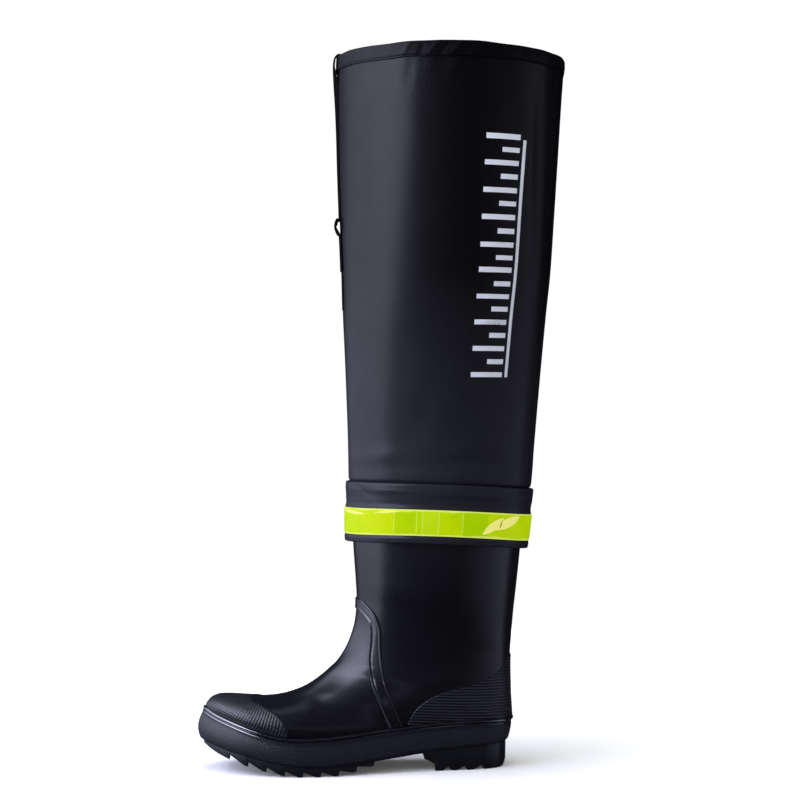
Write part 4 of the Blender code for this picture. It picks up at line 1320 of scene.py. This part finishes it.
def front_spot(height, out, side):
    """Points in front of the shaft, following the two facets of the solid's front."""
    row = shaft_row(np.minimum(height, RIM_TOP))
    facet = math.radians(FACET_DEG)
    depth = (row.front_x - row.back_x) / 2 * (1 - math.cos(facet))
    share = np.abs(side) / (row.half_width * math.sin(facet))
    return row.front_x - depth * share ** FACET_POWER + out, side, height


def strap_side(height, out, order, run):
    """Points of one face of a strap, and the places of its weave."""
    side = np.broadcast_to(order * STRAP_WIDTH / 2, np.broadcast(height, out).shape)
    return place(*front_spot(height, out, side)), np.stack(np.broadcast_arrays(side, run[:, None]), axis=-1)


def strap_piece(name, sides, finish, node):
    """Webbing of a front and a back face."""
    loops, weave = [np.concatenate(parts, axis=1) for parts in zip(*sides)]
    uv = weave.reshape(-1, 2)
    piece(name, loops, tube_faces(loops), finish, node, uv=uv, sharp_deg=60.0)


def make_straps(finish):
    """Strap over the rim and down to its bight, and the patch under its lower end."""
    path = spline(STRAP_PATH, 6, False)
    run = run_along(path)
    way = np.gradient(path, axis=0)
    way /= np.linalg.norm(way, axis=1)[:, None]
    normal = np.stack([-way[:, 1], way[:, 0]], axis=-1)
    out_path, height_path = path[:, :1], path[:, 1:]
    between = (height_path > BIGHT_TOP) & (height_path < STRAP_OPEN) & (out_path > 0)
    hug = between * (out_path - STRAP_LIE) * fade_in(height_path, STRAP_OPEN, -HUG_FADE)
    bight = (height_path < BIGHT_TOP) * fade_in(out_path, BIGHT_START, BIGHT_FADE)
    across = np.linspace(-1, 1, STRAP_STEPS)
    edge = np.sqrt(np.clip((1 - np.abs(across)) * STRAP_WIDTH / 2 / STRAP_ROUND, 0, 1))
    sides = []
    for flip in (1, -1):
        order = across[::flip]
        half = flip * STRAP_THICK / 2 * edge[::flip]
        out = out_path - hug * order ** 2 + normal[:, :1] * half - bight * BIGHT_TILT * (1 - order) / 2
        height = height_path + normal[:, 1:] * half + bight * BIGHT_SKEW * order
        sides.append(strap_side(height, out, order, run))
    strap_piece("strap_webbing", sides, finish, "hanger_strap")
    heights = np.linspace(STRAP_BASE_LOW, STRAP_BASE_HIGH, STRAP_BASE_STEPS)
    sides = []
    for flip in (1, -1):
        lift = GAP * EDGE_LIFT + STRAP_BASE_THICK * edge if flip == 1 else np.zeros(len(across))
        sides.append(strap_side(heights[:, None], lift[None, :], across[::flip], heights))
    strap_piece("strap_base_webbing", sides, finish, "strap_base")


def make_gauge(finish):
    """Plain upright rule with long and short bars, printed on the shaft."""
    patches = [(GAUGE_LOW, GAUGE_HIGH, 0.0, GAUGE_RULE, *RULE_GRID)]
    count = int((GAUGE_HIGH - GAUGE_LOW) / GAUGE_PITCH)
    for i in range(count + 1):
        height = GAUGE_LOW + i * GAUGE_PITCH
        reach = GAUGE_LONG if i % 2 == 0 else GAUGE_SHORT
        patches.append((height, height + GAUGE_BAR, GAUGE_START, GAUGE_START + reach, *BAR_GRID))
    points = []
    faces = []
    start = 0
    for low, high, near, far, rows, columns in patches:
        height = np.linspace(low, high, rows + 1)[:, None]
        across = np.linspace(near, far, columns + 1)[None, :]
        lean = GAUGE_LEAN * (height - GAUGE_LOW)
        angle = math.radians(GAUGE_ANGLE) - (across + lean) / PRINT_RADIUS
        points.append(place(*shaft_spot(height, angle, PRINT_OUT)).reshape(-1, 3))
        faces += moved(grid_faces(rows + 1, columns + 1, False), start)
        start += len(points[-1])
    piece("gauge_print", np.vstack(points), faces, finish, None)


def node_chain(name, values):
    """New material with values on its shader, and functions that add nodes and link them to it."""
    material = bpy.data.materials.new(name)
    material.use_nodes = True
    tree = material.node_tree
    shader = tree.nodes["Principled BSDF"]
    for socket, value in values.items():
        shader.inputs[socket].default_value = value

    def add(kind, links=None, **settings):
        node = tree.nodes.new(kind)
        for key, value in settings.items():
            setattr(node, key, value)
        for socket, source in (links or {}).items():
            if isinstance(source, bpy.types.NodeSocket):
                tree.links.new(source, node.inputs[socket])
            else:
                node.inputs[socket].default_value = source
        return node

    def link(source, socket):
        tree.links.new(source, shader.inputs[socket])

    return material, add, link


def maths(add, operation, a, b=0.0):
    return add("ShaderNodeMath", {0: a, 1: b}, operation=operation).outputs[0]


def highest(add, shares):
    top = shares[0]
    for share in shares[1:]:
        top = maths(add, "MAXIMUM", top, share)
    return top


def noise(add, scale, detail=2.0, roughness=0.5):
    where = add("ShaderNodeTexCoord").outputs["Object"]
    links = {"Vector": where, "Scale": scale, "Detail": detail, "Roughness": roughness}
    return add("ShaderNodeTexNoise", links).outputs["Fac"]


def spread(add, source, low, high, start=0.3, end=0.7):
    links = {"Value": source, "From Min": start, "From Max": end, "To Min": low, "To Max": high}
    return add("ShaderNodeMapRange", links).outputs["Result"]


def blend(add, share, first, second):
    links = {"Factor": share}
    for socket, value in ((6, first), (7, second)):
        links[socket] = value if isinstance(value, bpy.types.NodeSocket) else (*value, 1.0)
    return add("ShaderNodeMix", links, data_type="RGBA").outputs[2]


def cloudy(add, scale, dark, light, detail=4.0):
    """Colour that drifts between two."""
    return blend(add, spread(add, noise(add, scale, detail, 0.6), 0.0, 1.0), dark, light)


def bump(add, strength, distance, height, below=None):
    """Normal of a fine relief, which may lie on another."""
    links = {"Strength": strength, "Distance": distance, "Height": height}
    if below is not None:
        links["Normal"] = below
    return add("ShaderNodeBump", links).outputs[0]


def relief(add, grains):
    """Normal of fine grains that lie on each other."""
    normal = None
    for grain in grains:
        height = noise(add, grain.scale, grain.detail, grain.roughness)
        normal = bump(add, grain.strength, grain.distance, height, normal)
    return normal


def tinted(add, colour, where, share, other):
    return blend(add, maths(add, "MULTIPLY", where, share), colour, other)


def pattern_uv(add):
    where = add("ShaderNodeUVMap", uv_map="Pattern").outputs["UV"]
    parts = add("ShaderNodeSeparateXYZ", {0: where})
    return parts.outputs["X"], parts.outputs["Y"]


# Colours of the finishes
RUBBER_DARK = (0.0026, 0.0027, 0.0040)
RUBBER_LIGHT = (0.0036, 0.0038, 0.0056)
SOLE_DARK = (0.0026, 0.0031, 0.0050)
SOLE_LIGHT = (0.0040, 0.0047, 0.0072)
# Paler grey painted on raised points as a painted highlight
TIP_HIGHLIGHT_GREY = (0.060, 0.065, 0.078)
CLOTH_DARK = (0.0006, 0.0006, 0.0010)
# Paler colour painted low on the cloth as painted light from the floor
CLOTH_FLOOR_LIT = (0.0142, 0.0146, 0.0205)
FILM_DARK = (0.24, 0.38, 0.0)
FILM_LIGHT = (0.33, 0.43, 0.0)
SEAL_COLOUR = (0.46, 0.52, 0.10)
# Pale colour of the painted highlights on the tape
PAINTED_HIGHLIGHT_COLOUR = (0.55, 0.53, 0.14)
# Dark colour of the painted shaded crease on the tape
PAINTED_CREASE_SHADE = (0.10, 0.15, 0.0)
BLACK = (0.0, 0.0, 0.0)
WEBBING_DARK = (0.0010, 0.0010, 0.0013)
WEBBING_LIGHT = (0.0028, 0.0028, 0.0033)

# Sizes of the clouds of colour, and noises of the dull patches: scale, detail, roughness
RUBBER_CLOUD = 18.0
TAPE_CLOUD = 40.0
WEBBING_CLOUD = 300.0
PLAIN_CLOUD = 120.0
RUBBER_DULL = (60.0, 5.0, 0.65)
CLOTH_DULL = (45.0, 5.0, 0.6)
# Patches of the painted floor light on the cloth
FLOOR_LIGHT_NOISE = (9.0, 4.0, 0.6)

# Grains of the surfaces
Grain = namedtuple("Grain", "strength distance scale detail roughness")
RUBBER_WAVE = Grain(0.05, 0.0006, 34.0, 1.0, 0.4)
RUBBER_GRAIN = Grain(0.05, 0.0002, 900.0, 3.0, 0.6)
CLOTH_GRAINS = rows_of(Grain, [(0.4, 0.0012, 16.0, 2.0, 0.45), (0.7, 0.0006, 560.0, 2.0, 0.55)])
PLAIN_GRAINS = rows_of(Grain, [(0.2, 0.0002, 700.0, 2.0, 0.5)])

# Ranges of the finishes: two results and the two values that give them, or one of these pairs
# Painted highlight on raised points: the heights at which it starts and is full
TIP_HIGHLIGHT_RANGE = (0.4, 0.85)
# Painted floor light on the cloth: full below one height, none above another, and the shares of its patches
FLOOR_LIGHT_RANGE = (1.0, 0.0, 0.28, 0.47)
FLOOR_LIGHT_PATCHES = (0.75, 1.0)
CLOTH_ROUGH = (0.58, 0.70)
LEAF_RANGE = (1.0, 0.0, 0.86, 1.0)
WELD_RANGE = (1.0, 0.0, 0.15, 0.45)
BORDER_RANGE = (1.0, 0.0, 1.1, 1.9)
BORDER_WANDER = (-0.7, 0.7)

# Shares, pitches and reliefs of the tape, the webbing and plain films
BORDER_NOISE = 55.0
WELD_SHARE = 0.55
SEAL_SHARE = 0.75
SEAL_SINK = -0.6
TAPE_SHADE = 0.5
TAPE_BUMP = (0.5, 0.0005)
WARP_PITCH = 0.7
WEFT_PITCH = 0.6
WEFT_SHIFT = 0.8
WEBBING_BUMP = (0.8, 0.0005)
PLAIN_DARK = 0.9

# Even values of the finishes
RUBBER_LOOK = {"Coat Roughness": 0.08, "Coat IOR": 2.0}
CLOTH_LOOK = {"Specular IOR Level": 0.12, "Coat Roughness": 0.275}
# The film's emission is a painted glow that makes it brighter than its light alone would
GLOWING_FILM_LOOK = {
    "Roughness": 0.4,
    "Emission Strength": 1.2,
    "Specular IOR Level": 0.04,
    "Coat Weight": 0.05,
    "Coat Roughness": 0.2,
}
WEBBING_LOOK = {"Roughness": 0.85, "Specular IOR Level": 0.03}


def rubber(name, dark, light, rough, grain, gloss=0.5, tip_highlight=0.0, coat=0.0):
    """Satin rubber with a fine grain and dull patches; raised points may be painted paler as a painted
    highlight.
    """
    values = {"Specular IOR Level": gloss, "Coat Weight": coat, **RUBBER_LOOK}
    material, add, link = node_chain(name, values)
    colour = cloudy(add, RUBBER_CLOUD, dark, light)
    if tip_highlight:
        raised = add("ShaderNodeAttribute", attribute_name="tip_highlight").outputs["Fac"]
        colour = blend(add, spread(add, raised, 0.0, tip_highlight, *TIP_HIGHLIGHT_RANGE), colour, TIP_HIGHLIGHT_GREY)
    link(colour, "Base Color")
    link(spread(add, noise(add, *RUBBER_DULL), *rough), "Roughness")
    link(relief(add, [RUBBER_WAVE, RUBBER_GRAIN._replace(strength=grain)]), "Normal")
    return material


def coated_fabric(name, coat):
    """Black coated cloth with a fine grain, painted a little paler low down, in patches, as painted light
    from the floor.
    """
    material, add, link = node_chain(name, {"Coat Weight": coat, **CLOTH_LOOK})
    parts = add("ShaderNodeSeparateXYZ", {0: add("ShaderNodeTexCoord").outputs["Object"]})
    # Painted light from the floor: paler low down, in patches
    low = spread(add, parts.outputs["Z"], *FLOOR_LIGHT_RANGE)
    floor_light = maths(add, "MULTIPLY", low, spread(add, noise(add, *FLOOR_LIGHT_NOISE), *FLOOR_LIGHT_PATCHES))
    link(blend(add, floor_light, CLOTH_DARK, CLOTH_FLOOR_LIT), "Base Color")
    link(spread(add, noise(add, *CLOTH_DULL), *CLOTH_ROUGH), "Roughness")
    link(relief(add, CLOTH_GRAINS), "Normal")
    return material


def almond(add, u, v, spot):
    """Share that is one inside a leaf shape and zero outside it."""
    turn = math.radians(spot.slope_deg)
    du = maths(add, "MULTIPLY", maths(add, "SUBTRACT", u, spot.angle_deg), TAPE_MM_PER_DEG)
    dv = maths(add, "SUBTRACT", v, spot.height)

    def away(operation, first, second, size):
        """Distance along or across the leaf, as a share of its size."""
        first = maths(add, "MULTIPLY", first, math.cos(turn))
        second = maths(add, "MULTIPLY", second, math.sin(turn))
        return maths(add, "ABSOLUTE", maths(add, "DIVIDE", maths(add, operation, first, second), size))

    along = maths(add, "POWER", away("ADD", du, dv, spot.length), 2.0)
    across = away("SUBTRACT", dv, du, spot.width)
    return spread(add, maths(add, "ADD", along, across), *LEAF_RANGE)


def tape_film(name):
    """Lime film with paler sealed borders, fine cross welds and tinted cells, leaf-shaped painted
    highlights on a little relief with a painted shaded crease, and a painted glow of its own colour.
    """
    material, add, link = node_chain(name, GLOWING_FILM_LOOK)
    u, v = pattern_uv(add)
    colour = cloudy(add, TAPE_CLOUD, FILM_DARK, FILM_LIGHT)
    for cell in TAPE_CELLS:
        side = maths(add, "COMPARE", u, (cell.start + cell.end) / 2)
        side.node.inputs[2].default_value = (cell.end - cell.start) / 2
        colour = tinted(add, colour, side, cell.share, cell.colour)
    welds = []
    for angle in TAPE_WELDS:
        apart = maths(add, "ABSOLUTE", maths(add, "SUBTRACT", u, angle))
        welds.append(spread(add, apart, *WELD_RANGE))
    rim = maths(add, "MINIMUM", v, maths(add, "SUBTRACT", TAPE_HIGH - TAPE_LOW, v))
    rim = maths(add, "ADD", rim, spread(add, noise(add, BORDER_NOISE), *BORDER_WANDER))
    border = spread(add, rim, *BORDER_RANGE)
    seal = maths(add, "MAXIMUM", maths(add, "MULTIPLY", highest(add, welds), WELD_SHARE), border)
    colour = tinted(add, colour, seal, SEAL_SHARE, SEAL_COLOUR)
    # Leaf-shaped painted highlights, which also raise the film's relief a little
    leaves = [almond(add, u, v, spot) for spot in TAPE_HIGHLIGHT_LEAVES]
    for leaf, spot in zip(leaves, TAPE_HIGHLIGHT_LEAVES):
        colour = tinted(add, colour, leaf, spot.rise, PAINTED_HIGHLIGHT_COLOUR)
    # Painted shade along the crease between two highlights
    colour = tinted(add, colour, almond(add, u, v, TAPE_SHADED_CREASE), TAPE_SHADED_CREASE.rise, PAINTED_CREASE_SHADE)
    # Base colour is half the film's colour; the full colour also glows as painted light
    link(blend(add, TAPE_SHADE, colour, BLACK), "Base Color")
    link(colour, "Emission Color")
    height = maths(add, "ADD", maths(add, "MULTIPLY", seal, SEAL_SINK), highest(add, leaves))
    link(bump(add, *TAPE_BUMP, height), "Normal")
    return material


def webbing(name):
    material, add, link = node_chain(name, WEBBING_LOOK)
    u, v = pattern_uv(add)
    warp = maths(add, "PINGPONG", u, WARP_PITCH)
    crossed = maths(add, "ADD", v, maths(add, "MULTIPLY", warp, WEFT_SHIFT))
    weft = maths(add, "PINGPONG", crossed, WEFT_PITCH)
    link(cloudy(add, WEBBING_CLOUD, WEBBING_DARK, WEBBING_LIGHT, 3.0), "Base Color")
    link(bump(add, *WEBBING_BUMP, maths(add, "ADD", warp, weft)), "Normal")
    return material


def plain_film(name, colour, rough, gloss=0.5):
    material, add, link = node_chain(name, {"Roughness": rough, "Specular IOR Level": gloss})
    dark = tuple(PLAIN_DARK * value for value in colour)
    link(cloudy(add, PLAIN_CLOUD, dark, colour), "Base Color")
    link(relief(add, PLAIN_GRAINS), "Normal")
    return material


def make_stage():
    """Pale round floor that glows more away from the boot, so that it fades into the white behind it."""
    mesh = bpy.data.meshes.new("floor")
    work = bmesh.new()
    bmesh.ops.create_circle(work, cap_ends=True, radius=FLOOR_RADIUS * MM, segments=FLOOR_CORNERS)
    work.to_mesh(mesh)
    work.free()
    floor = stand("floor", mesh)
    floor.location.y = -FLOOR_BACK * MM
    material, add, link = node_chain("floor_white", FLOOR_LOOK)
    links = {0: add("ShaderNodeTexCoord").outputs["Object"], 1: (0.0, FLOOR_BACK * MM, 0.0)}
    apart = add("ShaderNodeVectorMath", links, operation="DISTANCE")
    link(spread(add, apart.outputs["Value"], *FLOOR_GLOW), "Emission Strength")
    mesh.materials.append(material)
    floor.visible_glossy = False


def make_world():
    """Dim room that lights the boot, and a white backdrop that the camera sees in its place."""
    world = bpy.data.worlds.new("studio")
    bpy.context.scene.world = world
    world.use_nodes = True
    nodes = world.node_tree.nodes
    links = world.node_tree.links
    nodes.clear()
    mix = nodes.new("ShaderNodeMixShader")
    links.new(nodes.new("ShaderNodeLightPath").outputs["Is Camera Ray"], mix.inputs[0])
    for socket, colour, strength in ((1, ROOM_COLOUR, ROOM_GLOW), (2, BACKDROP_COLOUR, BACKDROP_GLOW)):
        light = nodes.new("ShaderNodeBackground")
        light.inputs["Color"].default_value = colour
        light.inputs["Strength"].default_value = strength
        links.new(light.outputs[0], mix.inputs[socket])
    links.new(mix.outputs[0], nodes.new("ShaderNodeOutputWorld").inputs[0])


# Light panels on a ball round the boot: elevation, and the azimuth and glow of both ends.
# Azimuths run from the camera's side to the left.
PanelRow = namedtuple("PanelRow", "elevation near near_glow far far_glow")
KEY_PANEL = rows_of(PanelRow, [
    (-34, 72, 0.7, 140, 0.1), (-24, 67, 1.3, 140, 0.15), (-16, 63, 1.7, 140, 0.2),
    (-8, 57, 2.6, 145, 0.25), (0, 50, 4.8, 150, 0.3), (8, 37, 6.6, 138, 0.3), (16, 25, 6.7, 124, 0.3),
    (24, 30, 7.4, 130, 0.4), (32, 38, 7.6, 150, 0.5), (41, 41, 7.6, 140, 0.5), (50, 46, 6.4, 115, 0.5),
    (56, 48, 2.5, 95, 0.4), (62, 56, 0.8, 85, 0.3),
])
BACK_PANEL = rows_of(PanelRow, [
    (56, 130, 0.5, 250, 0.5), (82, 130, 0.5, 250, 0.5),
])
RIGHT_PANEL = rows_of(PanelRow, [
    (-30, -105, 0.55, -30, 0.0), (0, -105, 0.75, -25, 0.0), (22, -95, 0.8, -25, 0.0),
])
TOP_PANEL = rows_of(PanelRow, [
    (62, -180, 4.7, 180, 4.7), (89, -180, 4.7, 180, 4.7),
])
FILL_PANEL = rows_of(PanelRow, [
    (5, -60, 1.1, 40, 1.1), (50, -60, 1.1, 40, 1.1),
])
FRONT_PANEL = rows_of(PanelRow, [
    (-12, -50, 0.3, 40, 0.3), (-5, -50, 0.3, 40, 0.3), (3, -50, 0.0, 40, 0.0),
])
PANEL_RADIUS = 1600.0
PANEL_HEIGHT = 351.0
PANEL_TINT = (0.88, 0.91, 1.20, 1.0)
MATT_TINT = (1.0, 1.0, 0.95, 1.0)


def make_panel(name, rows, tint=PANEL_TINT, mirrored=True):
    """Glowing sheet on a ball; an unmirrored one lights matt surfaces alone."""
    levels = np.linspace(rows[0].elevation, rows[-1].elevation, PANEL_STEPS)
    share = np.linspace(0, 1, PANEL_STEPS)[None, :]
    edges = {}
    for field in ("near", "near_glow", "far", "far_glow"):
        edges[field] = np.interp(levels, column(rows, "elevation"), column(rows, field))[:, None]
    azimuth = np.radians(edges["near"] + (edges["far"] - edges["near"]) * share)
    glow = edges["near_glow"] + (edges["far_glow"] - edges["near_glow"]) * share
    rise = np.radians(levels)[:, None]
    view = math.radians(VIEW_AZIMUTH)
    front = np.array([math.sin(view), -math.cos(view)])
    left = np.array([-math.cos(view), -math.sin(view)])
    out = np.cos(azimuth)[..., None] * front + np.sin(azimuth)[..., None] * left
    flat = out * np.cos(rise)[..., None] * PANEL_RADIUS
    height = np.broadcast_to(np.sin(rise) * PANEL_RADIUS + PANEL_HEIGHT, azimuth.shape)
    points = np.concatenate([flat, height[..., None]], axis=-1) * MM
    mesh = bpy.data.meshes.new(name)
    mesh.from_pydata(points.reshape(-1, 3).tolist(), [], grid_faces(len(levels), share.size, False))
    point_value(mesh, "glow", glow)
    item = stand(name, mesh)
    values = {"Base Color": (0.0, 0.0, 0.0, 1.0), "Specular IOR Level": 0.0, "Emission Color": tint}
    material, add, link = node_chain(name, values)
    link(add("ShaderNodeAttribute", attribute_name="glow").outputs["Fac"], "Emission Strength")
    mesh.materials.append(material)
    item.visible_camera = False
    item.visible_shadow = False
    item.visible_glossy = mirrored


def make_camera():
    data = bpy.data.cameras.new("camera")
    data.sensor_width = SENSOR
    data.lens = SENSOR * VIEW_DISTANCE / VIEW_WIDTH
    item = stand("camera", data)
    turn = math.radians(VIEW_AZIMUTH)
    back = Vector((math.sin(turn), -math.cos(turn), 0.0))
    item.location = (Vector(VIEW_AIM) + back * VIEW_DISTANCE) * MM
    item.rotation_euler = (-back).to_track_quat("-Z", "Y").to_euler()
    bpy.context.scene.camera = item


smooth_rubber = rubber("smooth_rubber", RUBBER_DARK, RUBBER_LIGHT, (0.27, 0.30), 0.04)
band_rubber = rubber("band_rubber", RUBBER_DARK, RUBBER_LIGHT, (0.23, 0.27), 0.03, 0.8)
rib_rubber = rubber("rib_rubber", RUBBER_DARK, RUBBER_LIGHT, (0.30, 0.38), 0.1, 0.3, 0.35)
cap_rubber = rubber("cap_rubber", RUBBER_DARK, RUBBER_LIGHT, (0.28, 0.34), 0.05, 0.7, 1.0)
sole_rubber = rubber("sole_rubber", SOLE_DARK, SOLE_LIGHT, (0.34, 0.42), 0.05, 0.4, 0.7)
strip_rubber = rubber("strip_rubber", RUBBER_DARK, RUBBER_LIGHT, (0.12, 0.16), 0.02, 1.0, coat=0.8)
fabric = coated_fabric("coated_fabric", 0.30)
hem_cloth = coated_fabric("hem_fabric", 0.14)
film = tape_film("lime_film")
strap_web = webbing("black_webbing")
thread = plain_film("black_thread", (0.003, 0.003, 0.004), 0.9, 0.05)
print_ink = plain_film("pale_print", (0.86, 0.89, 0.98), 0.42)
sock = plain_film("sock_lining", (0.05, 0.05, 0.055), 0.9)

make_upper(smooth_rubber)
make_toe_cap(cap_rubber)
make_band(band_rubber)
make_counter(rib_rubber)
make_outsole(sole_rubber, strip_rubber)
make_insole(sock)
make_shaft(fabric)
make_cuff(fabric)
make_tape(film)
make_hem(hem_cloth, thread)
make_seam(fabric)
make_straps(strap_web)
make_gauge(print_ink)
make_stage()
make_world()
make_panel("key_panel", KEY_PANEL)
make_panel("back_panel", BACK_PANEL)
make_panel("right_panel", RIGHT_PANEL)
make_panel("front_panel", FRONT_PANEL)
make_panel("top_panel", TOP_PANEL, MATT_TINT, mirrored=False)
make_panel("fill_panel", FILL_PANEL, MATT_TINT, mirrored=False)
make_camera()
bpy.context.scene.view_settings.view_transform = "Standard"
